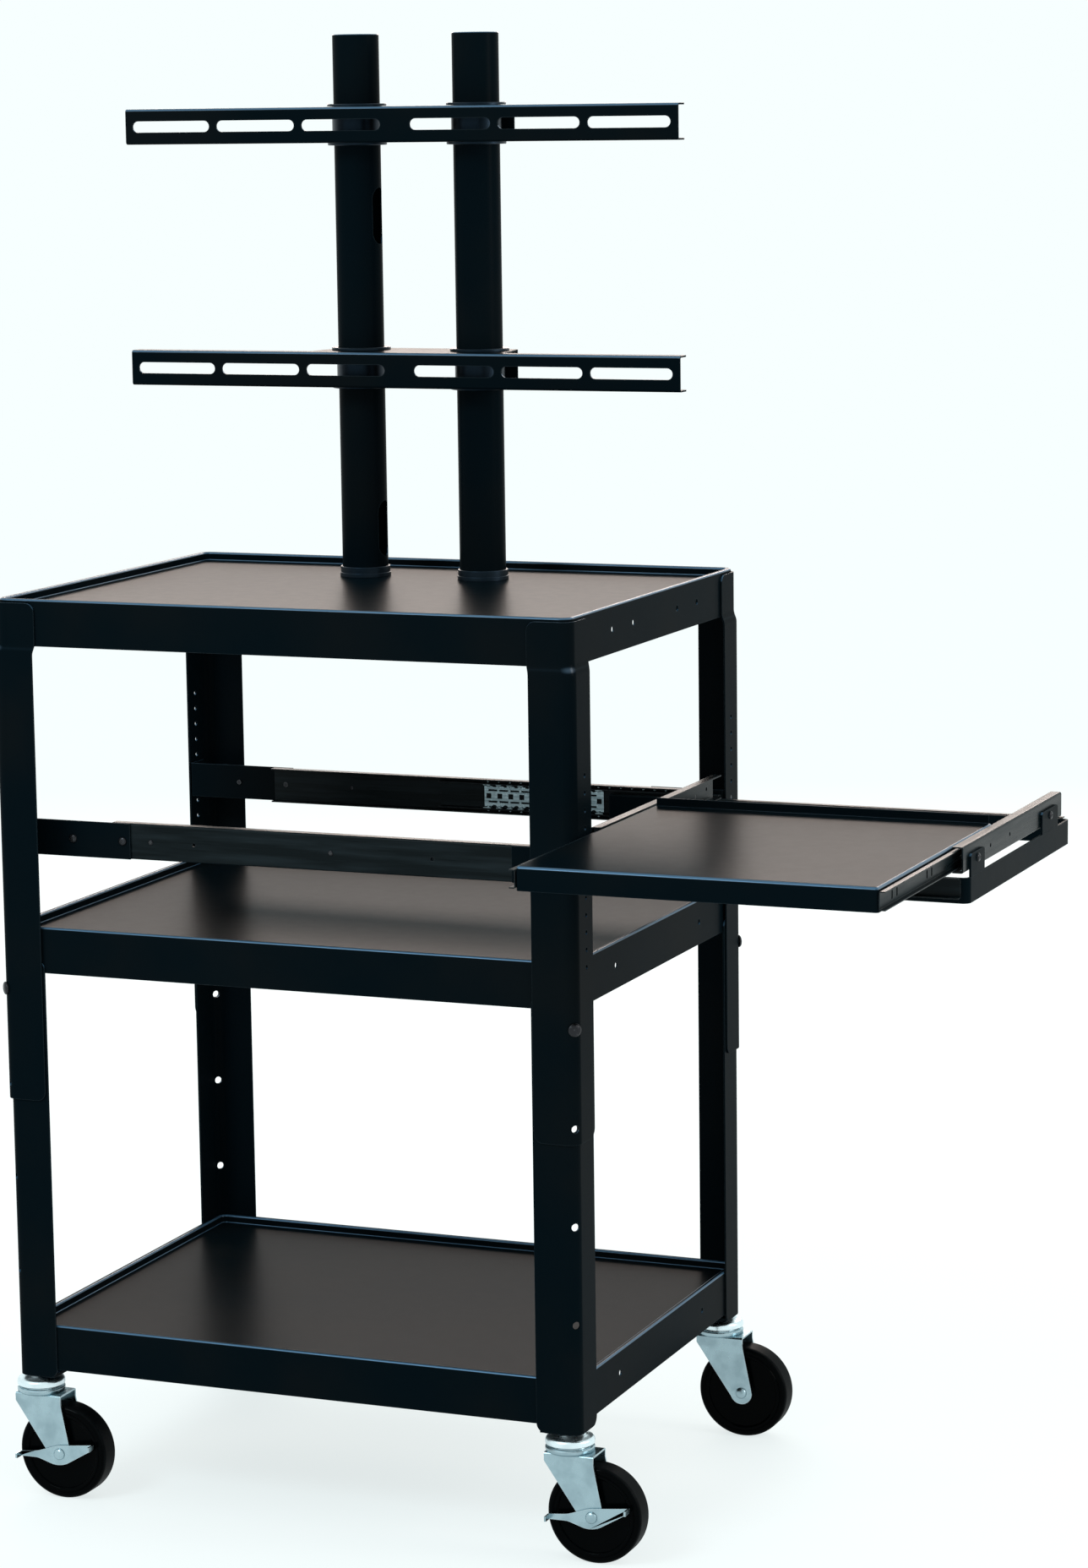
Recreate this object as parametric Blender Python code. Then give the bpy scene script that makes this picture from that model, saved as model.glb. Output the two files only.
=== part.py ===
"""Audio visual cart: three steel shelves on telescoping corner angles, two screen poles with
sliding screen brackets, a laptop tray on crossed ball slides, and four swivel casters.

Every piece is built in the cart's own axes: X along the long side, Y from the front skirts to
the back, Z up from the floor.  The root empty then moves the whole cart so that its origin is
the middle of its footprint on the floor.  All lengths are metres.
"""

import math

import bmesh
import bpy
from mathutils import Vector

# Clearance between pieces that touch, nest or slide
GAP = 0.0003
# Length by which a cutting shape runs past the face that it leaves
OVERRUN = 0.002

# Shelves: a flat deck with a raised folded lip and a deep skirt
SHELF_LENGTH = 0.640
SHELF_DEPTH = 0.480
SHELF_SKIRT = 0.049
SHELF_SHEET = 0.0015
SHELF_CORNER_RADIUS = 0.012
LIP_HEIGHT = 0.009
LIP_WIDTH = 0.0065
LIP_RADIUS = 0.003
TOP_RIM = 0.965
MIDDLE_RIM = 0.6206
BOTTOM_RIM = 0.191
SKIRT_HOLE_DIAMETER = 0.0065
SKIRT_HOLE_DROP = 0.0245
SKIRT_HOLE_SPACING = 0.245
TOP_HOLE_SPACING = 0.127

# Corner angles: the lower angles slide inside the upper ones, whose heads overlap the top skirt
LEG_SHEET = 0.002
LEG_FLANGE = 0.0475
LEG_CORNER_RADIUS = 0.012
LEG_END_RADIUS = 0.010
LEG_HEAD_DROP = 0.004
JOGGLE_LAP = 0.004
JOGGLE_LENGTH = 0.013
JOGGLE_TIME_SHARES = (0.0, 0.25, 0.75, 1.0)
JOGGLE_SHIFT_SHARES = (1.0, 0.85, 0.15, 0.0)
UPPER_LEG_BOTTOM = 0.435
LOWER_LEG_TOP = 0.585
LOWER_LEG_BOTTOM = 0.1334
FOOT_PLATE = 0.003
FOOT_REACH = 0.044
FOOT_CHAMFER = 0.014

# Height adjustment: holes through the rounded corners, bolted at the upper hole
HEIGHT_PITCH = 0.1016
HEIGHT_HOLE_DIAMETER = 0.008
HEIGHT_HOLE_DROP = 0.0184
UPPER_HEIGHT_HOLES = 2
LOWER_HEIGHT_HOLES = 4
HEIGHT_BOLT_DIAMETER = 0.007
HEIGHT_BOLT_HEAD_DIAMETER = 0.014
HEIGHT_BOLT_HEAD_HEIGHT = 0.0042

# Row of small holes in each upper angle's side flange
ROW_HOLE_DIAMETER = 0.005
ROW_HOLES = 12
ROW_PITCH = 0.0176
ROW_DROP = 0.1594
ROW_INSET = 0.030

# Screen poles
POLE_DIAMETER = 0.050
POLE_WALL = 0.0015
POLE_SPACING = 0.1394
POLE_BACK_INSET = 0.105
POLE_HEIGHT = 0.583
POLE_EDGE = 0.0012
CABLE_SLOT_WIDTH = 0.024
CABLE_SLOT_LENGTH = 0.061
CABLE_SLOT_CENTRES = (0.0525, 0.390)
RING_HEIGHT = 0.011
RING_WIDTH = 0.0022
RING_STEP = 0.0006
RING_STEP_SHARES = (0.42, 0.50)

# Screen brackets: slotted channels that slide on the poles
BRACKET_LENGTH = 0.640
BRACKET_HEIGHT = 0.038
BRACKET_SHEET = 0.002
BRACKET_FOLD_RADIUS = 0.0032
BRACKET_FLANGE = 0.0185
BRACKET_SETBACK = 0.057
BRACKET_REAR = 0.030
BRACKET_FLARE = 0.011
BRACKET_LUG_WIDTH = 0.064
UPPER_BRACKET_HEIGHT = 0.4875
LOWER_BRACKET_HEIGHT = 0.2274
SLOT_LENGTH = 0.0925
SLOT_HEIGHT = 0.012
SLOT_PITCH = 0.101
SLOT_CENTRE_GAP = 0.034
SLOTS_PER_SIDE = 3
COLLAR_WIDTH = 0.0065
COLLAR_THICKNESS = 0.0027
COLLAR_NECK = 0.0012

# Side slides: three nested channels at the front and at the back, which carry the tray sideways
SIDE_SLIDE_LENGTH = 0.508
SIDE_SLIDE_MIDDLE_LENGTH = 0.330
SIDE_SLIDE_LEFT_INSET = 0.105
SIDE_SLIDE_HEIGHT = 0.038
SIDE_SLIDE_DEPTH = 0.0127
SIDE_SLIDE_STROKE = 0.410
SIDE_SLIDE_LEG_CLEARANCE = 0.0009
SIDE_SLIDE_ROW_STEPS = 5.5
OUTER_SHEET = 0.0014
OUTER_FLANGE = 0.0112
BALL_SPACE = 0.003
MEMBER_SHEET = 0.0012
MIDDLE_SETBACK = 0.0006
MIDDLE_FLANGE = 0.0086
INNER_FLANGE = 0.0085
RETAINER_SHEET = 0.0008
RETAINER_FLANGE = 0.0045
RETAINER_LENGTH = 0.1414
RETAINER_OFFSET = 0.0531
RETAINER_PITCH = 0.0131
RETAINER_WINDOW = 0.0058
RETAINER_WINDOWS = 11

# Brackets that hold the outer side slides to the upper angles
SLIDE_BRACKET_SHEET = 0.002
SLIDE_BRACKET_LEFT_REACH = 0.127
SLIDE_BRACKET_RIGHT_REACH = 0.082
SLIDE_BRACKET_TAB = 0.031
SLIDE_BOLT_DIAMETER = 0.005
SLIDE_BOLT_HEAD_DIAMETER = 0.009
SLIDE_BOLT_HEAD_HEIGHT = 0.0026
SLIDE_BOLT_LEFT_INSETS = (0.060, 0.1184)
SLIDE_BOLT_RIGHT_INSETS = (0.058,)
TAB_SCREW_DIAMETER = 0.004
TAB_SCREW_STEPS = (5, 6)

# Carriage: flat bar frame on the inner side slides, with tabs for the tray slides
BAR_HEIGHT = 0.0254
BAR_SHEET = 0.0025
BAR_CORNER_RADIUS = 0.008
BAR_DROP = 0.0031
CARRIAGE_OVERHANG = 0.008
TAB_RISE = 0.004
TAB_EDGE = 0.004
FRONT_TAB_START = 0.008
FRONT_TAB_WIDTH = 0.046
BACK_TAB_INSET = 0.0464
BACK_TAB_WIDTH = 0.058
TAB_SCREW_DROP = 0.003
TRAY_SCREW_DIAMETER = 0.004
TRAY_SCREW_HEAD_DIAMETER = 0.0085
TRAY_SCREW_HEAD_HEIGHT = 0.0022

# Tray slides: two nested channels at each side of the tray
TRAY_SLIDE_HEIGHT = 0.026
TRAY_SLIDE_DEPTH = 0.0127
TRAY_SLIDE_RISE = 0.0285
TRAY_OUTER_START = 0.047
TRAY_OUTER_BACK_INSET = 0.080
TRAY_OUTER_FLANGE = 0.0112
TRAY_INNER_LENGTH = 0.360
TRAY_INNER_FLANGE = 0.0066
TRAY_BALL_SPACE = 0.0024
TRAY_RETAINER_LENGTH = 0.120
TRAY_RETAINER_START = 0.052
TRAY_RETAINER_FLANGE = 0.003

# Laptop tray
TRAY_WIDTH = 0.3606
TRAY_DEPTH = 0.370
TRAY_FRONT = -0.180
TRAY_SHEET = 0.0015
TRAY_SKIRT = 0.024
TRAY_RISE = 0.0127
TRAY_FOLD_RADIUS = 0.0035
TRAY_BACK_LIP = 0.0085

# Casters
WHEEL_RADIUS = 0.0508
WHEEL_WIDTH = 0.028
WHEEL_SHOULDER = 0.005
WHEEL_RIM_RADIUS = 0.040
WHEEL_RIM_STEP = 0.0015
WHEEL_RECESS = 0.003
WHEEL_HUB_RADIUS = 0.012
WHEEL_HUB_WIDTH = 0.030
CASTER_INSET = 0.018
CASTER_TRAIL = 0.030
RACE_RADIUS = 0.026
RACE_FLAT_RADIUS = 0.0155
RACE_HEIGHT = 0.0141
RACE_DOME = 0.006
RACE_DOME_SHARES = ((0.62, 0.30), (1.0, 1.0))
RACE_LOWER_HEIGHT = 0.005
FORK_SHEET = 0.002
FORK_SIDE_CLEARANCE = 0.0008
FORK_FRONT = 0.022
FORK_BACK = 0.0315
FORK_TIP_RADIUS = 0.0125
FORK_THROAT = 0.009
AXLE_DIAMETER = 0.0084
AXLE_HEAD_DIAMETER = 0.0125
AXLE_HEAD_HEIGHT = 0.0032
PEDAL_LENGTH = 0.090
PEDAL_HEIGHT = 0.028
PEDAL_SHEET = 0.002
PEDAL_TAB = 0.010
PEDAL_OUTLINE_SHARES = (
    (-0.530, -0.230),
    (-0.290, -0.220),
    (0.010, -0.520),
    (0.455, 0.320),
    (0.455, 0.500),
    (-0.033, 0.320),
    (-0.290, 0.040),
    (-0.530, -0.040),
)

# Facets around each kind of round shape, and the angle up to which facets are shaded smooth
SMOOTH_DEGREES = 30
CORNER_STEPS = 3
LEG_STEPS = 3
END_STEPS = 2
LIP_STEPS = 2
FOLD_STEPS = 2
POLE_SIDES = 24
COLLAR_SIDES = 16
RACE_SIDES = 16
WHEEL_SIDES = 24
BOLT_SIDES = 8
SMALL_SIDES = 6
HOLE_SIDES = 8

# Places that follow from the sizes above
HALF_LENGTH = SHELF_LENGTH / 2
HALF_DEPTH = SHELF_DEPTH / 2
LEG_PLANE = LEG_SHEET + GAP
UPPER_SHIFT = LEG_SHEET + GAP
LEG_EDGE = LEG_FLANGE - LEG_PLANE - UPPER_SHIFT
TOP_DECK = TOP_RIM - LIP_HEIGHT
POLE_Y = SHELF_DEPTH - POLE_BACK_INSET
MIDDLE_SKIRT_BOTTOM = MIDDLE_RIM - SHELF_SKIRT
BOLT_Z = MIDDLE_SKIRT_BOTTOM - HEIGHT_HOLE_DROP
SLIDE_Z = TOP_RIM - ROW_DROP - SIDE_SLIDE_ROW_STEPS * ROW_PITCH
SLIDE_Y = LEG_EDGE + SIDE_SLIDE_LEG_CLEARANCE
ARM_Y = SLIDE_Y + SIDE_SLIDE_DEPTH + GAP
TRAY_SLIDE_Z = SLIDE_Z + TRAY_SLIDE_RISE
TRAY_TOP = TRAY_SLIDE_Z + TRAY_RISE
SIDE_SLIDE_LEFT = SIDE_SLIDE_LEFT_INSET - HALF_LENGTH
CARRIAGE_RIGHT = SIDE_SLIDE_LEFT + SIDE_SLIDE_LENGTH + SIDE_SLIDE_STROKE + CARRIAGE_OVERHANG
TRAY_SLIDE_X = CARRIAGE_RIGHT - BAR_SHEET - GAP
TRAY_RIGHT = TRAY_SLIDE_X - TRAY_SLIDE_DEPTH - GAP
TRAY_LEFT = TRAY_RIGHT - TRAY_WIDTH
CROSS_BAR_X = TRAY_LEFT - GAP - TRAY_SLIDE_DEPTH - GAP
BAR_Z = SLIDE_Z - BAR_DROP
BAR_LOW = BAR_Z - BAR_HEIGHT / 2
BAR_HIGH = BAR_Z + BAR_HEIGHT / 2
TAB_TOP = TRAY_SLIDE_Z + TAB_RISE
MIDDLE_HEIGHT = SIDE_SLIDE_HEIGHT - 2 * (OUTER_SHEET + BALL_SPACE)
INNER_HEIGHT = MIDDLE_HEIGHT - 2 * (MEMBER_SHEET + BALL_SPACE)
RETAINER_HEIGHT = MIDDLE_HEIGHT - 2 * (MEMBER_SHEET + GAP)
MIDDLE_LEFT = SIDE_SLIDE_LEFT + SIDE_SLIDE_STROKE / 2
INNER_LEFT = SIDE_SLIDE_LEFT + SIDE_SLIDE_STROKE
TRAY_INNER_HEIGHT = TRAY_SLIDE_HEIGHT - 2 * (OUTER_SHEET + TRAY_BALL_SPACE)
TRAY_RETAINER_HEIGHT = TRAY_SLIDE_HEIGHT - 2 * (OUTER_SHEET + GAP)
BRACKET_Y = POLE_Y - BRACKET_SETBACK
CASTER_TOP = LOWER_LEG_BOTTOM - GAP
FORK_TOP = CASTER_TOP - RACE_HEIGHT - GAP
FORK_PLATE_TOP = FORK_TOP - RACE_LOWER_HEIGHT
FORK_INNER = WHEEL_HUB_WIDTH / 2 + FORK_SIDE_CLEARANCE
FORK_OUTER = FORK_INNER + FORK_SHEET
FORK_FACE = FORK_OUTER + GAP
PEDAL_FACE = FORK_FACE + PEDAL_SHEET + GAP

BLACK_COAT = ((0.012, 0.013, 0.015), 0.34, 0.0)
BLACK_SLIDE = ((0.010, 0.010, 0.011), 0.30, 0.6)
BLACK_PLASTIC = ((0.010, 0.010, 0.010), 0.45, 0.0)
BLACK_TREAD = ((0.010, 0.010, 0.011), 0.22, 0.0)
ZINC = ((0.55, 0.57, 0.60), 0.32, 1.0)
DARK_BOLT = ((0.020, 0.020, 0.022), 0.30, 0.8)

BODIES = {}


def clear_scene():
    """Remove every object that the open scene holds."""
    for item in list(bpy.data.objects):
        bpy.data.objects.remove(item, do_unlink=True)


def add_body(name, parent, pivot):
    """Add the empty that carries one moving body, on its joint's axis."""
    empty = bpy.data.objects.new("body_" + name, None)
    bpy.context.scene.collection.objects.link(empty)
    carried_by = BODIES.get(parent)
    if carried_by:
        empty.parent = carried_by["empty"]
        empty.location = Vector(pivot) - carried_by["pivot"]
    else:
        empty.location = Vector(pivot)
    BODIES[name] = {"empty": empty, "pivot": Vector(pivot)}


def finish(name, look):
    """Principled material of one piece."""
    colour, roughness, metallic = look
    material = bpy.data.materials.new(name + "_finish")
    material.use_nodes = True
    shader = material.node_tree.nodes["Principled BSDF"]
    shader.inputs["Base Color"].default_value = (*colour, 1.0)
    shader.inputs["Roughness"].default_value = roughness
    shader.inputs["Metallic"].default_value = metallic
    material.diffuse_color = (*colour, 1.0)
    return material


def arc(centre, radius, start, end, steps):
    """Points of an arc in a plane, from one angle in degrees to another."""
    points = []
    for step in range(steps + 1):
        angle = math.radians(start + (end - start) * step / steps)
        across = centre[0] + radius * math.cos(angle)
        along = centre[1] + radius * math.sin(angle)
        points.append((across, along))
    return points


def loft(rings):
    """Closed solid through rings of points, with a flat cap on each end."""
    mesh = bmesh.new()
    loops = [[mesh.verts.new(point) for point in ring] for ring in rings]
    for lower, upper in zip(loops, loops[1:]):
        for index in range(len(lower)):
            following = (index + 1) % len(lower)
            mesh.faces.new((lower[index], lower[following], upper[following], upper[index]))
    mesh.faces.new(list(reversed(loops[0])))
    mesh.faces.new(loops[-1])
    bmesh.ops.recalc_face_normals(mesh, faces=mesh.faces[:])
    return mesh


def prism(outline, axis, start, end):
    """Solid of one outline, extruded along X, Y or Z between two places."""
    rings = []
    for place in (start, end):
        if axis == "X":
            ring = [(place, a, b) for a, b in outline]
        elif axis == "Y":
            ring = [(a, place, b) for a, b in outline]
        else:
            ring = [(a, b, place) for a, b in outline]
        rings.append(ring)
    return loft(rings)


def box(x, y, z):
    """Solid between two places on each axis."""
    outline = [(x[0], y[0]), (x[1], y[0]), (x[1], y[1]), (x[0], y[1])]
    return prism(outline, "Z", z[0], z[1])


def turned(profile, centre, direction, sides, open_bore=False):
    """Solid of revolution from (radius, height) points about an axis through the centre.

    A profile with a bore is a closed loop; one without starts and ends on the axis.
    """
    mesh = bmesh.new()
    axis = Vector(direction).normalized()
    across = axis.cross(Vector((0.0, 0.0, 1.0)))
    if not across.length:
        across = Vector((1.0, 0.0, 0.0))
    across.normalize()
    beside = axis.cross(across)
    rings = []
    for radius, height in profile:
        base = Vector(centre) + axis * height
        if radius == 0:
            rings.append([mesh.verts.new(base)])
            continue
        ring = []
        for side in range(sides):
            angle = 2 * math.pi * (side + 0.5) / sides
            spoke = across * math.cos(angle) + beside * math.sin(angle)
            ring.append(mesh.verts.new(base + spoke * radius))
        rings.append(ring)
    if open_bore:
        rings.append(rings[0])
    for first, second in zip(rings, rings[1:]):
        for side in range(sides):
            following = (side + 1) % sides
            corners = [first[side % len(first)], first[following % len(first)]]
            corners += [second[following % len(second)], second[side % len(second)]]
            corners = list(dict.fromkeys(corners))
            if len(corners) > 2:
                mesh.faces.new(corners)
    bmesh.ops.recalc_face_normals(mesh, faces=mesh.faces[:])
    return mesh


def rod(start, end, diameter, sides):
    """Plain round solid from one point to another."""
    run = Vector(end) - Vector(start)
    radius = diameter / 2
    profile = [(0, 0), (radius, 0), (radius, run.length), (0, run.length)]
    return turned(profile, start, run, sides)


def bore(diameter, sides):
    """Diameter across the corners of a faceted hole that clears a round pin by the gap."""
    return (diameter + 2 * GAP) / math.cos(math.pi / sides)


def dome_bolt(seat, direction, head_diameter, head_height, shank_diameter, shank_length, sides):
    """Domed head on its seat, with a shank that runs back from it."""
    head = head_diameter / 2
    shank = shank_diameter / 2
    profile = [(0, -shank_length), (shank, -shank_length), (shank, 0), (head, 0)]
    profile += [(head, head_height / 4), (head * 3 / 4, head_height * 3 / 4), (0, head_height)]
    return turned(profile, seat, direction, sides)


def channel(axis, span, web, side, flange, height, middle, sheet):
    """Channel along X or Y: its web's outer face is at web, its flanges run to that side."""
    low = middle - height / 2
    high = middle + height / 2
    tip = web + side * flange
    inside = web + side * sheet
    outline = [(web, low), (tip, low), (tip, low + sheet), (inside, low + sheet)]
    outline += [(inside, high - sheet), (tip, high - sheet), (tip, high), (web, high)]
    return prism(outline, "X" if axis == "X" else "Y", span[0], span[1])


def obround(length, height, centre, steps):
    """Outline of a slot with round ends, its length along the first axis."""
    radius = height / 2
    reach = length / 2 - radius
    outline = arc((centre[0] + reach, centre[1]), radius, -90, 90, steps)
    outline += arc((centre[0] - reach, centre[1]), radius, 90, 270, steps)
    return outline


def link_mesh(name, shapes, body):
    """Object of one or more closed shapes, placed about its body's pivot."""
    mesh = bmesh.new()
    for shape in shapes:
        part = bpy.data.meshes.new(name)
        shape.to_mesh(part)
        shape.free()
        mesh.from_mesh(part)
        bpy.data.meshes.remove(part)
    bmesh.ops.translate(mesh, verts=mesh.verts[:], vec=-BODIES[body]["pivot"])
    data = bpy.data.meshes.new(name)
    mesh.to_mesh(data)
    mesh.free()
    item = bpy.data.objects.new(name, data)
    bpy.context.scene.collection.objects.link(item)
    item.parent = BODIES[body]["empty"]
    return item


def combine(item, shapes, operation, body):
    """Cut, join or trim an object with hidden shapes."""
    tool = link_mesh(item.name + "_" + operation.lower(), shapes, body)
    tool.hide_render = True
    tool.hide_viewport = True
    tool.display_type = "WIRE"
    modifier = item.modifiers.new(operation.lower(), "BOOLEAN")
    modifier.operation = operation
    modifier.solver = "EXACT"
    modifier.object = tool


def piece(name, shape, look, body, steps=()):
    """One named piece of the cart, with its finish, its shading and its cuts and joins."""
    item = link_mesh(name, [shape], body)
    item.data.materials.append(finish(name, look))
    item.data.shade_smooth()
    item.data.set_sharp_from_angle(angle=math.radians(SMOOTH_DEGREES))
    for operation, tools in steps:
        combine(item, tools, operation, body)
    return item


def shelf_ring(inset, height):
    """Rounded rectangle, set in from the skirt plane by the inset."""
    radius = SHELF_CORNER_RADIUS - inset
    half_x = HALF_LENGTH - inset - radius
    half_y = HALF_DEPTH - inset - radius
    ring = []
    for side_x, side_y, start in ((1, 1, 0), (-1, 1, 90), (-1, -1, 180), (1, -1, 270)):
        centre = (side_x * half_x, HALF_DEPTH + side_y * half_y)
        for x, y in arc(centre, radius, start, start + 90, CORNER_STEPS):
            ring.append((x, y, height))
    return ring


def shelf(rim):
    """Deck, folded lip and skirt of one shelf, as a single bent sheet."""
    sheet = SHELF_SHEET
    inner_fold = LIP_RADIUS - sheet
    profile = [(LIP_WIDTH, -LIP_HEIGHT)]
    profile += arc((LIP_WIDTH - LIP_RADIUS, -LIP_RADIUS), LIP_RADIUS, 0, 90, LIP_STEPS)
    profile += arc((LIP_RADIUS, -LIP_RADIUS), LIP_RADIUS, 90, 180, LIP_STEPS)
    profile += [(0, -SHELF_SKIRT), (sheet, -SHELF_SKIRT)]
    profile += arc((LIP_RADIUS, -LIP_RADIUS), inner_fold, 180, 90, 1)
    profile += arc((LIP_WIDTH - LIP_RADIUS, -LIP_RADIUS), inner_fold, 90, 0, 1)
    profile += [(LIP_WIDTH - sheet, -LIP_HEIGHT - sheet)]
    return loft([shelf_ring(inset, rim + height) for inset, height in profile])


def skirt_holes(rim, spacings):
    """Cylinders that cut the same holes in the left and right skirts."""
    reach = HALF_LENGTH + OVERRUN
    tools = []
    for spacing in spacings:
        for side in (-1, 1):
            y = HALF_DEPTH + side * spacing / 2
            z = rim - SKIRT_HOLE_DROP
            start = (-reach, y, z)
            tools.append(rod(start, (reach, y, z), SKIRT_HOLE_DIAMETER, HOLE_SIDES))
    return tools


def at_corner(side_x, side_y, shift, u, v, z):
    """Point of a corner angle: u and v run inwards from its two outer faces."""
    x = side_x * (HALF_LENGTH + LEG_PLANE + shift - u)
    y = HALF_DEPTH + side_y * (HALF_DEPTH + LEG_PLANE + shift - v)
    return (x, y, z)


def leg_outline(trim):
    """Cross-section of a corner angle with a rounded corner."""
    reach = LEG_FLANGE - trim
    centre = (LEG_CORNER_RADIUS, LEG_CORNER_RADIUS)
    inner = LEG_CORNER_RADIUS - LEG_SHEET
    outline = [(reach, 0)] + arc(centre, LEG_CORNER_RADIUS, 270, 180, LEG_STEPS)
    outline += [(0, reach), (LEG_SHEET, reach)]
    outline += arc(centre, inner, 180, 270, LEG_STEPS) + [(reach, LEG_SHEET)]
    return outline


def leg(side_x, side_y, sections):
    """Corner angle through sections of (height, outward shift, trimmed flange)."""
    rings = []
    for z, shift, trim in sections:
        ring = [at_corner(side_x, side_y, shift, u, v, z) for u, v in leg_outline(trim)]
        rings.append(ring)
    return loft(rings)


def rounded_end(z, direction, shift):
    """Sections that round off the free corners of both flanges at an end."""
    sections = []
    for step in range(END_STEPS + 1):
        angle = math.pi / 2 * step / END_STEPS
        rise = LEG_END_RADIUS * (1 - math.cos(angle))
        trim = LEG_END_RADIUS * (1 - math.sin(angle))
        sections.append((z + direction * rise, shift, trim))
    return sections


def upper_leg_sections():
    """Wide main length, joggle just under the top skirt, then the head on the skirt."""
    joggle_top = TOP_RIM - SHELF_SKIRT + JOGGLE_LAP
    sections = rounded_end(UPPER_LEG_BOTTOM, 1, UPPER_SHIFT)
    for time, share in zip(JOGGLE_TIME_SHARES, JOGGLE_SHIFT_SHARES):
        height = joggle_top - JOGGLE_LENGTH * (1 - time)
        sections.append((height, UPPER_SHIFT * share, 0))
    sections += reversed(rounded_end(TOP_RIM - LEG_HEAD_DROP, -1, 0))
    return sections


def lower_leg_sections():
    """Straight angle with rounded free corners at both ends."""
    sections = rounded_end(LOWER_LEG_BOTTOM, 1, 0)
    return sections + list(reversed(rounded_end(LOWER_LEG_TOP, -1, 0)))


def corner_axis(side_x, side_y, shift, z):
    """Centre of the corner's bend, and the outward direction through it."""
    radius = LEG_CORNER_RADIUS
    centre = Vector(at_corner(side_x, side_y, shift, radius, radius, z))
    return centre, Vector((side_x, side_y, 0)).normalized()


def height_holes(side_x, side_y, shift, count):
    """Cylinders that cut the adjusting holes through the rounded corner."""
    tools = []
    for index in range(count):
        centre, out = corner_axis(side_x, side_y, shift, BOLT_Z - index * HEIGHT_PITCH)
        start = centre + out * (LEG_CORNER_RADIUS - LEG_SHEET - OVERRUN)
        end = centre + out * (LEG_CORNER_RADIUS + OVERRUN)
        tools.append(rod(start, end, HEIGHT_HOLE_DIAMETER, HOLE_SIDES))
    return tools


def row_z(step):
    """Height of one hole in the side flange's row, counted from the top."""
    return TOP_RIM - ROW_DROP - step * ROW_PITCH


def row_place(side_x, side_y, step, depth):
    """Point on the axis of a row hole, at a depth in from the side flange's outer face."""
    return at_corner(side_x, side_y, UPPER_SHIFT, depth, ROW_INSET, row_z(step))


def row_holes(side_x, side_y):
    """Cylinders that cut the row of small holes in the side flange."""
    tools = []
    for step in range(ROW_HOLES):
        start = row_place(side_x, side_y, step, -OVERRUN)
        end = row_place(side_x, side_y, step, LEG_SHEET + OVERRUN)
        tools.append(rod(start, end, ROW_HOLE_DIAMETER, SMALL_SIDES))
    return tools


def foot_plate(side_x, side_y):
    """Plate that closes the bottom of a lower angle, with a cut-off corner."""
    half = LEG_SHEET / 2
    centre = (LEG_CORNER_RADIUS, LEG_CORNER_RADIUS)
    outline = [(FOOT_REACH, half)]
    outline += arc(centre, LEG_CORNER_RADIUS - half, 270, 180, LEG_STEPS)
    outline += [(half, FOOT_REACH), (FOOT_REACH - FOOT_CHAMFER, FOOT_REACH)]
    outline += [(FOOT_REACH, FOOT_REACH - FOOT_CHAMFER)]
    rings = []
    for z in (LOWER_LEG_BOTTOM, LOWER_LEG_BOTTOM + FOOT_PLATE):
        rings.append([at_corner(side_x, side_y, 0, u, v, z) for u, v in outline])
    return loft(rings)


def height_bolt(side_x, side_y):
    """Domed bolt in an upper angle's corner; its shank ends where the lower angle slides."""
    centre, out = corner_axis(side_x, side_y, UPPER_SHIFT, BOLT_Z)
    seat = centre + out * (LEG_CORNER_RADIUS + GAP)
    shank = LEG_SHEET + GAP
    return dome_bolt(seat, out, HEIGHT_BOLT_HEAD_DIAMETER, HEIGHT_BOLT_HEAD_HEIGHT,
                     HEIGHT_BOLT_DIAMETER, shank, BOLT_SIDES)


def pole_tube(x):
    """Pole with a closed flat top and an open lower end that stands on the top deck."""
    radius = POLE_DIAMETER / 2
    inside = radius - POLE_WALL
    under_cap = POLE_HEIGHT - POLE_WALL
    profile = [(inside, GAP), (radius, GAP), (radius, POLE_HEIGHT - POLE_EDGE)]
    profile += [(radius - POLE_EDGE, POLE_HEIGHT), (0, POLE_HEIGHT)]
    profile += [(0, under_cap), (inside, under_cap)]
    return turned(profile, (x, POLE_Y, TOP_DECK), (0, 0, 1), POLE_SIDES, True)


def pole_ring(x):
    """Stepped ring round the foot of a pole."""
    inside = bore(POLE_DIAMETER, POLE_SIDES) / 2
    outside = inside + RING_WIDTH
    low, high = [share * RING_HEIGHT for share in RING_STEP_SHARES]
    top = RING_HEIGHT + GAP
    profile = [(inside, GAP), (outside, GAP), (outside, low), (outside - RING_STEP, high)]
    profile += [(outside - RING_STEP, top), (inside, top)]
    return turned(profile, (x, POLE_Y, TOP_DECK), (0, 0, 1), POLE_SIDES, True)


def cable_slots(x):
    """Upright round-ended openings in the pole's right side."""
    tools = []
    for height in CABLE_SLOT_CENTRES:
        upright = obround(CABLE_SLOT_LENGTH, CABLE_SLOT_WIDTH, (TOP_DECK + height, POLE_Y), LEG_STEPS)
        outline = [(y, z) for z, y in upright]
        tools.append(prism(outline, "X", x, x + POLE_DIAMETER / 2 + OVERRUN))
    return tools


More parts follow.
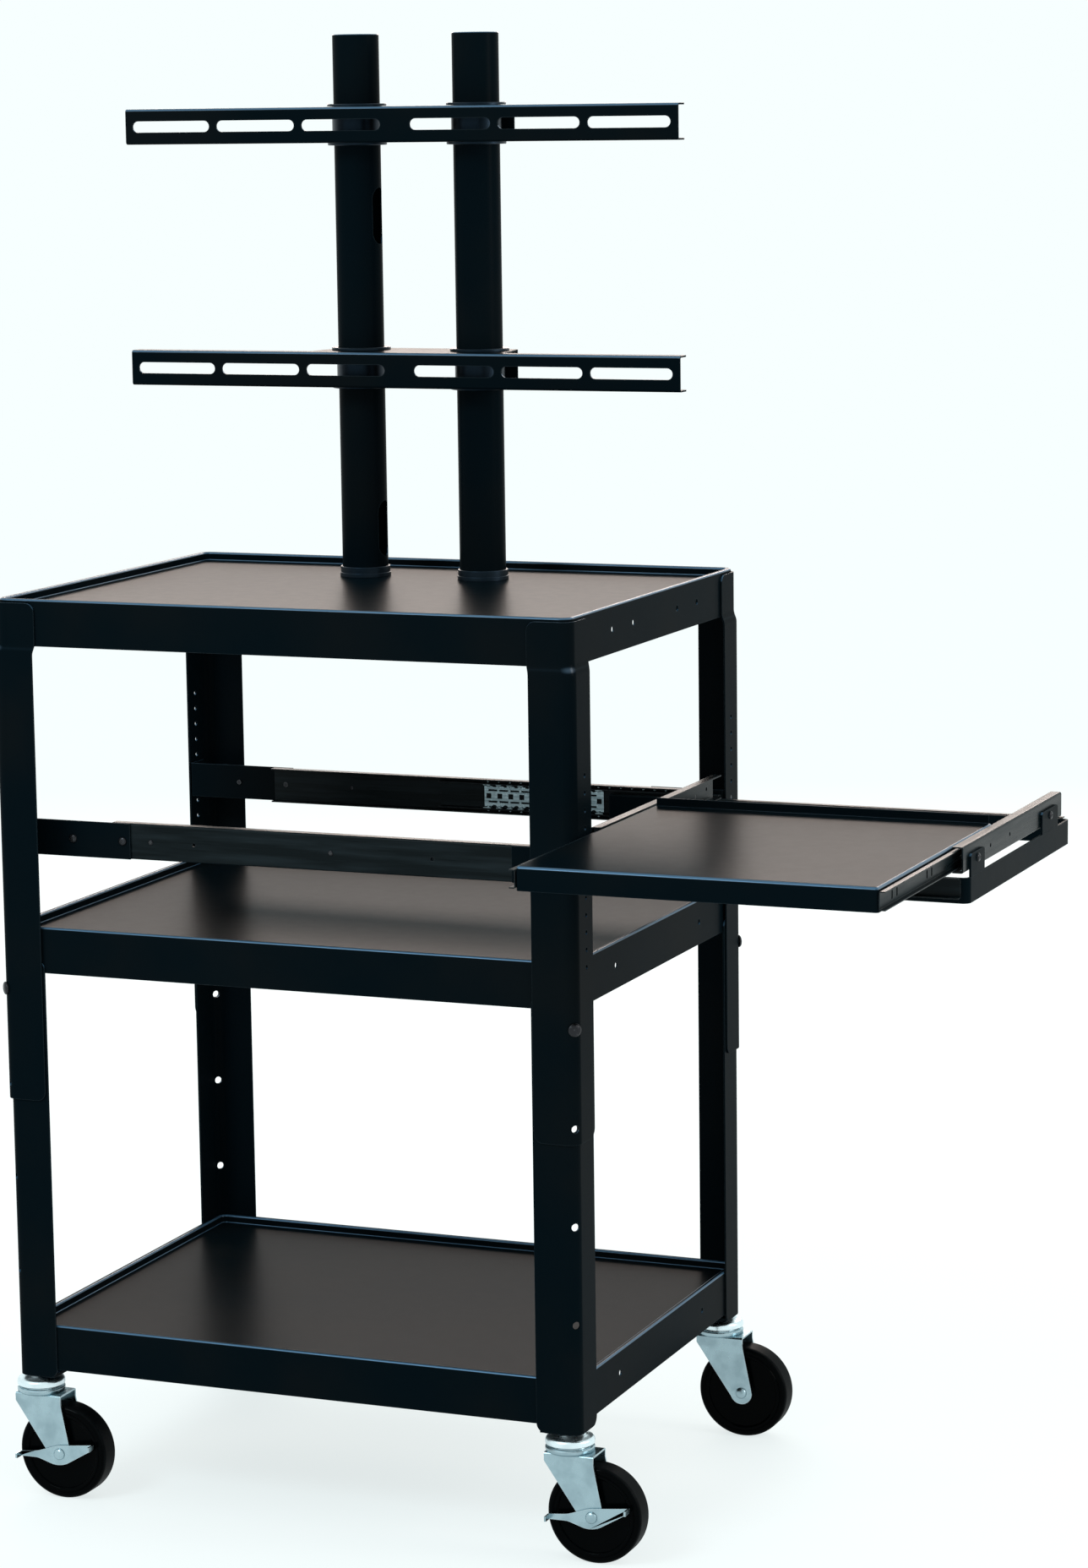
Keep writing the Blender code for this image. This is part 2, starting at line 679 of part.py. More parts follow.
def bracket_body(z):
    """Block of a screen bracket's outer shape, flared round the poles, with folded front edges."""
    half = BRACKET_LENGTH / 2
    back = BRACKET_Y + BRACKET_FLANGE
    rear = POLE_Y + BRACKET_REAR
    middle = (POLE_SPACING + BRACKET_LUG_WIDTH) / 2
    flare = middle + BRACKET_FLARE
    outline = [(-half, BRACKET_Y), (half, BRACKET_Y), (half, back), (flare, back), (middle, rear)]
    outline += [(-middle, rear), (-flare, back), (-half, back)]
    block = prism(outline, "Z", z - BRACKET_HEIGHT / 2, z + BRACKET_HEIGHT / 2)
    block.edges.ensure_lookup_table()
    folds = []
    for edge in block.edges:
        first, second = edge.verts
        level = abs(first.co.z - second.co.z) < GAP
        if level and abs(first.co.x - second.co.x) > half and max(first.co.y, second.co.y) < back:
            if min(first.co.y, second.co.y) < BRACKET_Y + GAP:
                folds.append(edge)
    bmesh.ops.bevel(block, geom=folds, offset=BRACKET_FOLD_RADIUS, segments=FOLD_STEPS,
                    profile=0.5, affect="EDGES")
    return block


def bracket_hollow(z):
    """Inside of the channel, open at its ends and back, with a rear lug behind each pole."""
    reach = BRACKET_LENGTH / 2 + OVERRUN
    web = BRACKET_Y + BRACKET_SHEET
    rear = POLE_Y + BRACKET_REAR
    inner = (POLE_SPACING - BRACKET_LUG_WIDTH) / 2
    outline = [(-reach, web), (reach, web), (reach, rear - BRACKET_SHEET)]
    outline += [(inner, rear - BRACKET_SHEET), (inner, rear + OVERRUN)]
    outline += [(-inner, rear + OVERRUN), (-inner, rear - BRACKET_SHEET)]
    outline += [(-reach, rear - BRACKET_SHEET)]
    half = BRACKET_HEIGHT / 2 - BRACKET_SHEET
    return prism(outline, "Z", z - half, z + half)


def bracket_holes(z):
    """Slots through the front face, and the holes that the poles pass through."""
    tools = []
    for side in (-1, 1):
        for index in range(SLOTS_PER_SIDE):
            x = side * (SLOT_CENTRE_GAP / 2 + SLOT_LENGTH / 2 + index * SLOT_PITCH)
            outline = obround(SLOT_LENGTH, SLOT_HEIGHT, (x, z), LEG_STEPS)
            end = BRACKET_Y + BRACKET_SHEET + OVERRUN
            tools.append(prism(outline, "Y", BRACKET_Y - OVERRUN, end))
        pole = side * POLE_SPACING / 2
        reach = BRACKET_HEIGHT / 2 + OVERRUN
        neck = bore(POLE_DIAMETER, COLLAR_SIDES) + 2 * COLLAR_NECK
        diameter = bore(neck, COLLAR_SIDES)
        start = (pole, POLE_Y, z - reach)
        tools.append(rod(start, (pole, POLE_Y, z + reach), diameter, COLLAR_SIDES))
    return tools


def bracket_bushing(x, z):
    """Thin sleeve through the bracket round one pole, with a flange above and below."""
    inside = bore(POLE_DIAMETER, COLLAR_SIDES) / 2
    neck = inside + COLLAR_NECK
    flange = inside + COLLAR_WIDTH
    seat = BRACKET_HEIGHT / 2 + GAP
    end = seat + COLLAR_THICKNESS
    profile = [(inside, -end), (flange, -end), (flange, -seat), (neck, -seat), (neck, seat)]
    profile += [(flange, seat), (flange, end), (inside, end)]
    return turned(profile, (x, POLE_Y, z), (0, 0, 1), COLLAR_SIDES, True)


def slide_plane(side, depth):
    """Y of a plane in a side slide: depth runs inwards from its outer face."""
    return HALF_DEPTH + side * (HALF_DEPTH - SLIDE_Y - depth)


def side_channel(side, start, depth, towards, flange, height, sheet, length):
    """One member of a side slide, its flanges running further in or back out."""
    web = slide_plane(side, depth)
    return channel("X", (start, start + length), web, -side * towards, flange, height, SLIDE_Z, sheet)


def retainer_windows(side):
    """Square windows along the web of a side slide's ball retainer."""
    tools = []
    depth = OUTER_SHEET + MIDDLE_SETBACK + MEMBER_SHEET
    y = sorted((slide_plane(side, depth - OVERRUN), slide_plane(side, depth + OVERRUN)))
    half = RETAINER_WINDOW / 2
    middle = MIDDLE_LEFT + RETAINER_OFFSET + RETAINER_LENGTH / 2
    for index in range(RETAINER_WINDOWS):
        x = middle + (index - (RETAINER_WINDOWS - 1) / 2) * RETAINER_PITCH
        tools.append(box((x - half, x + half), y, (SLIDE_Z - half, SLIDE_Z + half)))
    return tools


def slide_bracket(side_x, side_y, end):
    """Angle plate from an upper angle's side flange to the outer side slide."""
    wall = HALF_LENGTH + LEG_PLANE + UPPER_SHIFT - LEG_SHEET - GAP
    inner = wall - SLIDE_BRACKET_SHEET
    back = SLIDE_Y - GAP
    front = back - SLIDE_BRACKET_SHEET
    tab = back - SLIDE_BRACKET_TAB
    outline = [(wall, tab), (inner, tab), (inner, front), (end, front), (end, back), (wall, back)]
    placed = [(side_x * x, HALF_DEPTH + side_y * (HALF_DEPTH - y)) for x, y in outline]
    return prism(placed, "Z", SLIDE_Z - SIDE_SLIDE_HEIGHT / 2, SLIDE_Z + SIDE_SLIDE_HEIGHT / 2)


def slide_bolt_places(side_x):
    """X of the bolts that hold one slide bracket, as distances from the middle."""
    insets = SLIDE_BOLT_LEFT_INSETS if side_x < 0 else SLIDE_BOLT_RIGHT_INSETS
    return [HALF_LENGTH - inset for inset in insets]


def slide_bolt_holes(side_x, side_y):
    """Holes in an outer slide for the bolts of one slide bracket."""
    tools = []
    diameter = bore(SLIDE_BOLT_DIAMETER, BOLT_SIDES)
    for x in slide_bolt_places(side_x):
        start = (side_x * x, slide_plane(side_y, -SLIDE_BRACKET_SHEET - GAP - OVERRUN), SLIDE_Z)
        end = (side_x * x, slide_plane(side_y, OUTER_SHEET + OVERRUN), SLIDE_Z)
        tools.append(rod(start, end, diameter, BOLT_SIDES))
    return tools


def slide_bracket_bolts(side_x, side_y):
    """Bolts made in one with a slide bracket: through the slide, and through the angle's row."""
    bolts = []
    for x in slide_bolt_places(side_x):
        seat = (side_x * x, slide_plane(side_y, -SLIDE_BRACKET_SHEET - GAP), SLIDE_Z)
        through = SLIDE_BRACKET_SHEET + GAP + OUTER_SHEET
        bolts.append(dome_bolt(seat, (0, side_y, 0), SLIDE_BOLT_HEAD_DIAMETER,
                               SLIDE_BOLT_HEAD_HEIGHT, SLIDE_BOLT_DIAMETER, through, BOLT_SIDES))
    for step in TAB_SCREW_STEPS:
        depth = LEG_SHEET + GAP + SLIDE_BRACKET_SHEET
        seat = row_place(side_x, side_y, step, depth)
        bolts.append(dome_bolt(seat, (-side_x, 0, 0), SLIDE_BOLT_HEAD_DIAMETER,
                               SLIDE_BOLT_HEAD_HEIGHT, TAB_SCREW_DIAMETER, depth, SMALL_SIDES))
    return bolts


def bar_outline():
    """Plan of the carriage's bent bar: two arms along X joined by the right arm."""
    left = INNER_LEFT
    right = CARRIAGE_RIGHT
    front = ARM_Y
    back = SHELF_DEPTH - ARM_Y
    radius = BAR_CORNER_RADIUS
    inner = radius - BAR_SHEET
    low = (right - radius, front + radius)
    high = (right - radius, back - radius)
    outline = [(left, front)] + arc(low, radius, -90, 0, FOLD_STEPS)
    outline += arc(high, radius, 0, 90, FOLD_STEPS) + [(left, back), (left, back - BAR_SHEET)]
    outline += arc(high, inner, 90, 0, FOLD_STEPS) + arc(low, inner, 0, -90, FOLD_STEPS)
    outline += [(left, front + BAR_SHEET)]
    return outline


def tab_spans():
    """Y of both ends of each tab that carries a tray slide."""
    front = ARM_Y + FRONT_TAB_START
    back = SHELF_DEPTH - ARM_Y - BACK_TAB_INSET
    return ((front, front + FRONT_TAB_WIDTH), (back - BACK_TAB_WIDTH, back))


def carriage_joins():
    """Cross bar and tabs that are welded to the bent bar."""
    rear = SHELF_DEPTH - ARM_Y
    half = BAR_SHEET / 2
    shapes = [cross_bar(ARM_Y + half, rear - half)]
    for low, high in tab_spans():
        outline = [(low, BAR_Z), (high, BAR_Z), (high, TAB_TOP - TAB_EDGE)]
        outline += [(high - TAB_EDGE, TAB_TOP), (low + TAB_EDGE, TAB_TOP)]
        outline += [(low, TAB_TOP - TAB_EDGE)]
        shapes.append(prism(outline, "X", CARRIAGE_RIGHT - BAR_SHEET, CARRIAGE_RIGHT))
    return shapes


def cross_bar(start, end):
    """Left cross bar with its tabs, as one plate along Y."""
    outline = [(start, BAR_LOW), (end, BAR_LOW), (end, BAR_HIGH)]
    for low, high in reversed(tab_spans()):
        outline += [(high, BAR_HIGH), (high, TAB_TOP - TAB_EDGE), (high - TAB_EDGE, TAB_TOP)]
        outline += [(low + TAB_EDGE, TAB_TOP), (low, TAB_TOP - TAB_EDGE), (low, BAR_HIGH)]
    outline += [(start, BAR_HIGH)]
    return prism(outline, "X", CROSS_BAR_X - BAR_SHEET, CROSS_BAR_X)


def tray_screw_run(side, start, end):
    """Rods through the tabs and the outer tray slides at one side of the tray."""
    face = CARRIAGE_RIGHT if side > 0 else CROSS_BAR_X - BAR_SHEET
    z = TRAY_SLIDE_Z - TAB_SCREW_DROP
    runs = []
    for low, high in tab_spans():
        y = (low + high) / 2
        runs.append(((face + side * start, y, z), (face + side * end, y, z)))
    return runs


def tray_screw_holes():
    """Holes for the screws that hold the outer tray slides."""
    tools = []
    diameter = bore(TRAY_SCREW_DIAMETER, SMALL_SIDES)
    depth = BAR_SHEET + GAP + OUTER_SHEET + OVERRUN
    for side in (-1, 1):
        for start, end in tray_screw_run(side, OVERRUN, -depth):
            tools.append(rod(start, end, diameter, SMALL_SIDES))
    return tools


def tray_screws():
    """Screws made in one with the carriage's tabs, their heads outside."""
    screws = []
    through = BAR_SHEET + GAP + OUTER_SHEET
    for side in (-1, 1):
        for seat, _ in tray_screw_run(side, 0, 0):
            screws.append(dome_bolt(seat, (side, 0, 0), TRAY_SCREW_HEAD_DIAMETER,
                                    TRAY_SCREW_HEAD_HEIGHT, TRAY_SCREW_DIAMETER, through,
                                    SMALL_SIDES))
    return screws


def tray_channel(side, part):
    """One member of a tray slide, or its ball retainer, at the tray's left or right."""
    outer_web = TRAY_SLIDE_X if side > 0 else CROSS_BAR_X + GAP
    if part == "outer":
        span = (TRAY_OUTER_START, SHELF_DEPTH - TRAY_OUTER_BACK_INSET)
        return channel("Y", span, outer_web, -side, TRAY_OUTER_FLANGE, TRAY_SLIDE_HEIGHT,
                       TRAY_SLIDE_Z, OUTER_SHEET)
    if part == "retainer":
        web = outer_web - side * (OUTER_SHEET + GAP)
        span = (TRAY_RETAINER_START, TRAY_RETAINER_START + TRAY_RETAINER_LENGTH)
        return channel("Y", span, web, -side, TRAY_RETAINER_FLANGE, TRAY_RETAINER_HEIGHT,
                       TRAY_SLIDE_Z, RETAINER_SHEET)
    web = TRAY_RIGHT + GAP if side > 0 else TRAY_LEFT - GAP
    span = (TRAY_FRONT, TRAY_FRONT + TRAY_INNER_LENGTH)
    return channel("Y", span, web, side, TRAY_INNER_FLANGE, TRAY_INNER_HEIGHT, TRAY_SLIDE_Z,
                   MEMBER_SHEET)


def tray_body():
    """Block of the tray's outer shape, with folded front and side edges."""
    back = TRAY_FRONT + TRAY_DEPTH
    low = TRAY_TOP - TRAY_SKIRT
    block = box((TRAY_LEFT, TRAY_RIGHT), (TRAY_FRONT, back), (low, TRAY_TOP))
    folds = []
    for edge in block.edges:
        first, second = edge.verts
        middle = (first.co + second.co) / 2
        top = middle.z > TRAY_TOP - GAP
        front = middle.y < TRAY_FRONT + GAP
        across = abs(first.co.x - second.co.x) > TRAY_SHEET
        upright = abs(first.co.z - second.co.z) > TRAY_SHEET
        if (top and (front or not across)) or (front and upright):
            folds.append(edge)
    bmesh.ops.bevel(block, geom=folds, offset=TRAY_FOLD_RADIUS, segments=FOLD_STEPS,
                    profile=0.5, affect="EDGES")
    return block


def tray_hollow():
    """Underside of the tray, open below and at the back."""
    back = TRAY_FRONT + TRAY_DEPTH
    x = (TRAY_LEFT + TRAY_SHEET, TRAY_RIGHT - TRAY_SHEET)
    low = TRAY_TOP - TRAY_SKIRT - OVERRUN
    return box(x, (TRAY_FRONT + TRAY_SHEET, back + OVERRUN), (low, TRAY_TOP - TRAY_SHEET))


def tray_lip():
    """Upright lip along the tray's back edge."""
    back = TRAY_FRONT + TRAY_DEPTH
    x = (TRAY_LEFT + TRAY_FOLD_RADIUS, TRAY_RIGHT - TRAY_FOLD_RADIUS)
    return box(x, (back - TRAY_SHEET, back), (TRAY_TOP - TRAY_SHEET, TRAY_TOP + TRAY_BACK_LIP))


def caster_place(side_x, side_y):
    """X and Y of a caster's swivel axis."""
    x = side_x * (HALF_LENGTH + LEG_PLANE - CASTER_INSET)
    y = HALF_DEPTH + side_y * (HALF_DEPTH + LEG_PLANE - CASTER_INSET)
    return x, y


def caster_race(x, y):
    """Fixed upper race of a caster, domed at its edge."""
    spread = RACE_RADIUS - RACE_FLAT_RADIUS
    profile = [(0, -RACE_HEIGHT), (RACE_RADIUS, -RACE_HEIGHT)]
    for share, drop in reversed(RACE_DOME_SHARES):
        profile.append((RACE_FLAT_RADIUS + spread * share, -RACE_DOME * drop))
    profile += [(RACE_FLAT_RADIUS, 0), (0, 0)]
    return turned(profile, (x, y, CASTER_TOP), (0, 0, 1), RACE_SIDES)


def fork_channel(x, y):
    """Folded strip of a caster's fork, before its sides are trimmed."""
    low = WHEEL_RADIUS - FORK_TIP_RADIUS - OVERRUN
    under = FORK_PLATE_TOP - FORK_SHEET
    outline = [(-FORK_OUTER, low), (-FORK_INNER, low), (-FORK_INNER, under), (FORK_INNER, under)]
    outline += [(FORK_INNER, low), (FORK_OUTER, low), (FORK_OUTER, FORK_PLATE_TOP)]
    outline += [(-FORK_OUTER, FORK_PLATE_TOP)]
    placed = [(y + a, z) for a, z in outline]
    end = x + CASTER_TRAIL + FORK_TIP_RADIUS + OVERRUN
    return prism(placed, "X", x - FORK_FRONT - OVERRUN, end)


def fork_silhouette(x, y):
    """Side view of a caster's fork, from its top plate down to the rounded axle end."""
    top = FORK_PLATE_TOP + OVERRUN
    knee = FORK_PLATE_TOP - FORK_THROAT
    outline = [(-FORK_FRONT, top), (-FORK_FRONT, knee)]
    outline += arc((CASTER_TRAIL, WHEEL_RADIUS), FORK_TIP_RADIUS, 200, 360, 2 * LEG_STEPS)
    outline += [(FORK_BACK, knee), (FORK_BACK, top)]
    placed = [(x + a, z) for a, z in outline]
    return prism(placed, "Y", y - FORK_OUTER - OVERRUN, y + FORK_OUTER + OVERRUN)


def fork_race(x, y):
    """Lower race, joined to the fork's top plate."""
    start = (x, y, FORK_PLATE_TOP - FORK_SHEET / 2)
    return rod(start, (x, y, FORK_TOP), 2 * RACE_RADIUS, RACE_SIDES)


def axle_hole(x, y):
    """Hole for the axle through a pedal."""
    reach = PEDAL_FACE + OVERRUN
    place = x + CASTER_TRAIL
    start = (place, y - reach, WHEEL_RADIUS)
    end = (place, y + reach, WHEEL_RADIUS)
    return rod(start, end, bore(AXLE_DIAMETER, HOLE_SIDES), HOLE_SIDES)


def axle_pin(x, y, front_seat):
    """Axle riveted into the fork: a domed head outside its front side or pedal, and one behind."""
    shank = AXLE_DIAMETER / 2
    head = AXLE_HEAD_DIAMETER / 2
    back_seat = FORK_FACE
    profile = []
    for seat, side in ((front_seat, -1), (back_seat, 1)):
        points = [(0, seat + AXLE_HEAD_HEIGHT), (head * 3 / 4, seat + AXLE_HEAD_HEIGHT * 3 / 4)]
        points += [(head, seat), (shank, seat)]
        placed = [(radius, side * height) for radius, height in points]
        profile += placed if side < 0 else reversed(placed)
    return turned(profile, (x + CASTER_TRAIL, y, WHEEL_RADIUS), (0, 1, 0), HOLE_SIDES)


def wheel_shape(x, y):
    """Wheel with a hub, a recessed disc, a rim and a chamfered tread."""
    half = WHEEL_WIDTH / 2
    recess = half - WHEEL_RECESS
    hub = WHEEL_HUB_WIDTH / 2
    tread = WHEEL_RADIUS / math.cos(math.pi / WHEEL_SIDES)
    side = [(bore(AXLE_DIAMETER, WHEEL_SIDES) / 2, hub), (WHEEL_HUB_RADIUS, hub)]
    side += [(WHEEL_HUB_RADIUS, recess), (WHEEL_RIM_RADIUS, recess)]
    side += [(WHEEL_RIM_RADIUS + WHEEL_RIM_STEP, half), (tread - WHEEL_SHOULDER, half)]
    side += [(tread, half - WHEEL_SHOULDER)]
    profile = [(radius, -height) for radius, height in side] + list(reversed(side))
    return turned(profile, (x + CASTER_TRAIL, y, WHEEL_RADIUS), (0, 1, 0), WHEEL_SIDES, True)


def pedal_points(x):
    """Outline of a brake pedal about the axle."""
    points = []
    for along, up in PEDAL_OUTLINE_SHARES:
        points.append((x + CASTER_TRAIL + along * PEDAL_LENGTH, WHEEL_RADIUS + up * PEDAL_HEIGHT))
    return points


def pedal_plate(x, y):
    """Flat plate of a brake pedal, outside the fork."""
    return prism(pedal_points(x), "Y", y - FORK_FACE - PEDAL_SHEET, y - FORK_FACE)


def pedal_tabs(x, y):
    """Foot tabs at both ends of a pedal, bent outwards."""
    points = pedal_points(x)
    left = points[0][0]
    right = points[3][0]
    span = (y - FORK_FACE - PEDAL_SHEET - PEDAL_TAB, y - FORK_FACE - PEDAL_SHEET / 2)
    left_tab = box((left, left + PEDAL_SHEET), span, (points[0][1], points[-1][1]))
    right_tab = box((right - PEDAL_SHEET, right), span, (points[3][1], points[4][1]))
    return [left_tab, right_tab]


def build_shelves():
    """Three shelves: the bottom one on the lower angles, the others on the upper ones."""
    for name, rim, body, spacings in (
        ("bottom_shelf", BOTTOM_RIM, "base", (SKIRT_HOLE_SPACING,)),
        ("middle_shelf", MIDDLE_RIM, "upper_frame", (SKIRT_HOLE_SPACING,)),
        ("top_shelf", TOP_RIM, "upper_frame", (SKIRT_HOLE_SPACING, TOP_HOLE_SPACING)),
    ):
        piece(name, shelf(rim), BLACK_COAT, body, (("DIFFERENCE", skirt_holes(rim, spacings)),))


def build_legs():
    """Four lower and four upper corner angles, with the bolts that set the height."""
    for row, side_y in (("front", -1), ("back", 1)):
        for column, side_x in (("left", -1), ("right", 1)):
            corner = row + "_" + column
            lower_holes = height_holes(side_x, side_y, 0, LOWER_HEIGHT_HOLES)
            steps = (("UNION", [foot_plate(side_x, side_y)]), ("DIFFERENCE", lower_holes))
            lower = leg(side_x, side_y, lower_leg_sections())
            piece("lower_leg_" + corner, lower, BLACK_COAT, "base", steps)
            holes = height_holes(side_x, side_y, UPPER_SHIFT, UPPER_HEIGHT_HOLES)
            holes += row_holes(side_x, side_y)
            upper = leg(side_x, side_y, upper_leg_sections())
            steps = (("DIFFERENCE", holes),)
            piece("upper_leg_" + corner, upper, BLACK_COAT, "upper_frame", steps)
            bolt = height_bolt(side_x, side_y)
            piece("height_bolt_" + corner, bolt, DARK_BOLT, "upper_frame")


def build_poles():
    """Two poles on the top deck, each in a stepped ring; the left one takes cables."""
    left = -POLE_SPACING / 2
    right = POLE_SPACING / 2
    slots = (("DIFFERENCE", cable_slots(left)),)
    piece("pole_left", pole_tube(left), BLACK_COAT, "upper_frame", slots)
    piece("pole_right", pole_tube(right), BLACK_COAT, "upper_frame")
    piece("pole_base_ring_left", pole_ring(left), BLACK_PLASTIC, "upper_frame")
    piece("pole_base_ring_right", pole_ring(right), BLACK_PLASTIC, "upper_frame")


def build_screen_brackets():
    """Two slotted channels on the poles, each with its bushings."""
    for name, height in (("upper", UPPER_BRACKET_HEIGHT), ("lower", LOWER_BRACKET_HEIGHT)):
        z = TOP_DECK + height
        body = "bracket_" + name
        steps = (("DIFFERENCE", [bracket_hollow(z)]), ("DIFFERENCE", bracket_holes(z)))
        piece("screen_bracket_" + name, bracket_body(z), BLACK_COAT, body, steps)
        for column, side in (("left", -1), ("right", 1)):
            bushing = bracket_bushing(side * POLE_SPACING / 2, z)
            piece("bracket_bushing_" + name + "_" + column, bushing, BLACK_PLASTIC, body)


def build_side_slides():
    """Outer, middle and inner members at the front and back, with retainers and brackets."""
    for row, side in (("front", -1), ("back", 1)):
        outer = side_channel(side, SIDE_SLIDE_LEFT, 0, 1, OUTER_FLANGE, SIDE_SLIDE_HEIGHT,
                             OUTER_SHEET, SIDE_SLIDE_LENGTH)
        holes = slide_bolt_holes(-1, side) + slide_bolt_holes(1, side)
        steps = (("DIFFERENCE", holes),)
        piece("side_slide_outer_" + row, outer, BLACK_SLIDE, "upper_frame", steps)
        depth = OUTER_SHEET + MIDDLE_SETBACK
        middle = side_channel(side, MIDDLE_LEFT, depth, 1, MIDDLE_FLANGE, MIDDLE_HEIGHT,
                              MEMBER_SHEET, SIDE_SLIDE_MIDDLE_LENGTH)
        piece("side_slide_middle_" + row, middle, BLACK_SLIDE, "side_slides_middle")
        depth += MEMBER_SHEET + GAP
        start = MIDDLE_LEFT + RETAINER_OFFSET
        retainer = side_channel(side, start, depth, 1, RETAINER_FLANGE, RETAINER_HEIGHT,
                                RETAINER_SHEET, RETAINER_LENGTH)
        steps = (("DIFFERENCE", retainer_windows(side)),)
        piece("side_slide_retainer_" + row, retainer, ZINC, "side_slides_middle", steps)
        inner = side_channel(side, INNER_LEFT, SIDE_SLIDE_DEPTH, -1, INNER_FLANGE, INNER_HEIGHT,
                             MEMBER_SHEET, SIDE_SLIDE_LENGTH)
        piece("side_slide_inner_" + row, inner, BLACK_SLIDE, "carriage")
        for column, side_x, end in (
            ("left", -1, HALF_LENGTH - SLIDE_BRACKET_LEFT_REACH),
            ("right", 1, HALF_LENGTH - SLIDE_BRACKET_RIGHT_REACH),
        ):
            plate = slide_bracket(side_x, side, end)
            name = "slide_bracket_" + row + "_" + column
            steps = (("UNION", slide_bracket_bolts(side_x, side)),)
            piece(name, plate, BLACK_COAT, "upper_frame", steps)


def build_carriage():
    """Frame on the inner side slides, with the slides of the tray."""
    frame = prism(bar_outline(), "Z", BAR_LOW, BAR_HIGH)
    steps = (("UNION", carriage_joins()), ("UNION", tray_screws()))
    piece("carriage_frame", frame, BLACK_COAT, "carriage", steps)
    for column, side in (("left", -1), ("right", 1)):
        steps = (("DIFFERENCE", tray_screw_holes()),)
        outer = tray_channel(side, "outer")
        piece("tray_slide_outer_" + column, outer, BLACK_SLIDE, "carriage", steps)
        retainer = tray_channel(side, "retainer")
        piece("tray_slide_retainer_" + column, retainer, ZINC, "tray_retainers")
        inner = tray_channel(side, "inner")
        piece("tray_slide_inner_" + column, inner, BLACK_SLIDE, "tray")


def build_tray():
    """Laptop tray: one folded sheet, with a lip at its back."""
    steps = (("DIFFERENCE", [tray_hollow()]), ("UNION", [tray_lip()]))
    piece("laptop_tray", tray_body(), BLACK_COAT, "tray", steps)


def build_casters():
    """Four trailing swivel casters; the front ones have brake pedals."""
    for row, side_y in (("front", -1), ("back", 1)):
        for column, side_x in (("left", -1), ("right", 1)):
            corner = row + "_" + column
            x, y = caster_place(side_x, side_y)
            axle = (x + CASTER_TRAIL, y, WHEEL_RADIUS)
            swivel = "swivel_" + corner
            add_body(swivel, "base", (x, y, CASTER_TOP))
            add_body("wheel_" + corner, swivel, axle)
            piece("caster_race_" + corner, caster_race(x, y), ZINC, "base")
            seat = PEDAL_FACE if side_y < 0 else FORK_FACE
            steps = (
                ("INTERSECT", [fork_silhouette(x, y)]),
                ("UNION", [fork_race(x, y), axle_pin(x, y, seat)]),
            )
            piece("caster_fork_" + corner, fork_channel(x, y), ZINC, swivel, steps)
            piece("wheel_" + corner, wheel_shape(x, y), BLACK_TREAD, "wheel_" + corner)
            if side_y < 0:
                add_body("pedal_" + corner, swivel, axle)
                steps = (("UNION", pedal_tabs(x, y)), ("DIFFERENCE", [axle_hole(x, y)]))
                piece("brake_pedal_" + corner, pedal_plate(x, y), ZINC, "pedal_" + corner, steps)


def stand_on_origin():
    """Move the root so that the origin is the middle of the footprint, on the floor."""
    bpy.context.view_layer.update()
    graph = bpy.context.evaluated_depsgraph_get()
    corners = []
    for item in bpy.context.scene.objects:
        if item.type == "MESH" and not item.hide_render:
            evaluated = item.evaluated_get(graph)
            corners += [evaluated.matrix_world @ vertex.co for vertex in evaluated.data.vertices]
    low = [min(corner[axis] for corner in corners) for axis in range(3)]
    high = [max(corner[axis] for corner in corners) for axis in range(3)]
    shift = Vector((-(low[0] + high[0]) / 2, -(low[1] + high[1]) / 2, -low[2]))
    BODIES["base"]["empty"].location = shift
    print("root placed at", [round(value, 6) for value in shift])


def main():
    """Build every piece of the cart."""
    clear_scene()
    add_body("base", None, (0, 0, 0))
    add_body("upper_frame", "base", (0, HALF_DEPTH, BOLT_Z))
    add_body("bracket_upper", "upper_frame", (0, POLE_Y, TOP_DECK + UPPER_BRACKET_HEIGHT))
    add_body("bracket_lower", "upper_frame", (0, POLE_Y, TOP_DECK + LOWER_BRACKET_HEIGHT))
    add_body("side_slides_middle", "upper_frame", (MIDDLE_LEFT, HALF_DEPTH, SLIDE_Z))
    add_body("carriage", "upper_frame", (INNER_LEFT, HALF_DEPTH, SLIDE_Z))
    tray_x = (TRAY_LEFT + TRAY_RIGHT) / 2
    add_body("tray_retainers", "carriage", (tray_x, TRAY_RETAINER_START, TRAY_SLIDE_Z))
    add_body("tray", "carriage", (tray_x, TRAY_FRONT, TRAY_SLIDE_Z))
    build_shelves()
    build_legs()
    build_poles()
    build_screen_brackets()
    build_side_slides()
    build_carriage()
    build_tray()
    build_casters()
    stand_on_origin()


main()
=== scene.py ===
"""Looks of the audio visual cart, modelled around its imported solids.

Each piece is shaped in the cart's own axes: X along the long side, Y from the front skirts to the
back, Z up from the floor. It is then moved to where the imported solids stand. Lengths are metres.
"""

import sys

import itertools
import logging
import math
from collections.abc import Callable, Iterable, Sequence
from dataclasses import dataclass
from enum import Enum
from typing import ClassVar

import bmesh
import bpy
from mathutils import Matrix, Vector


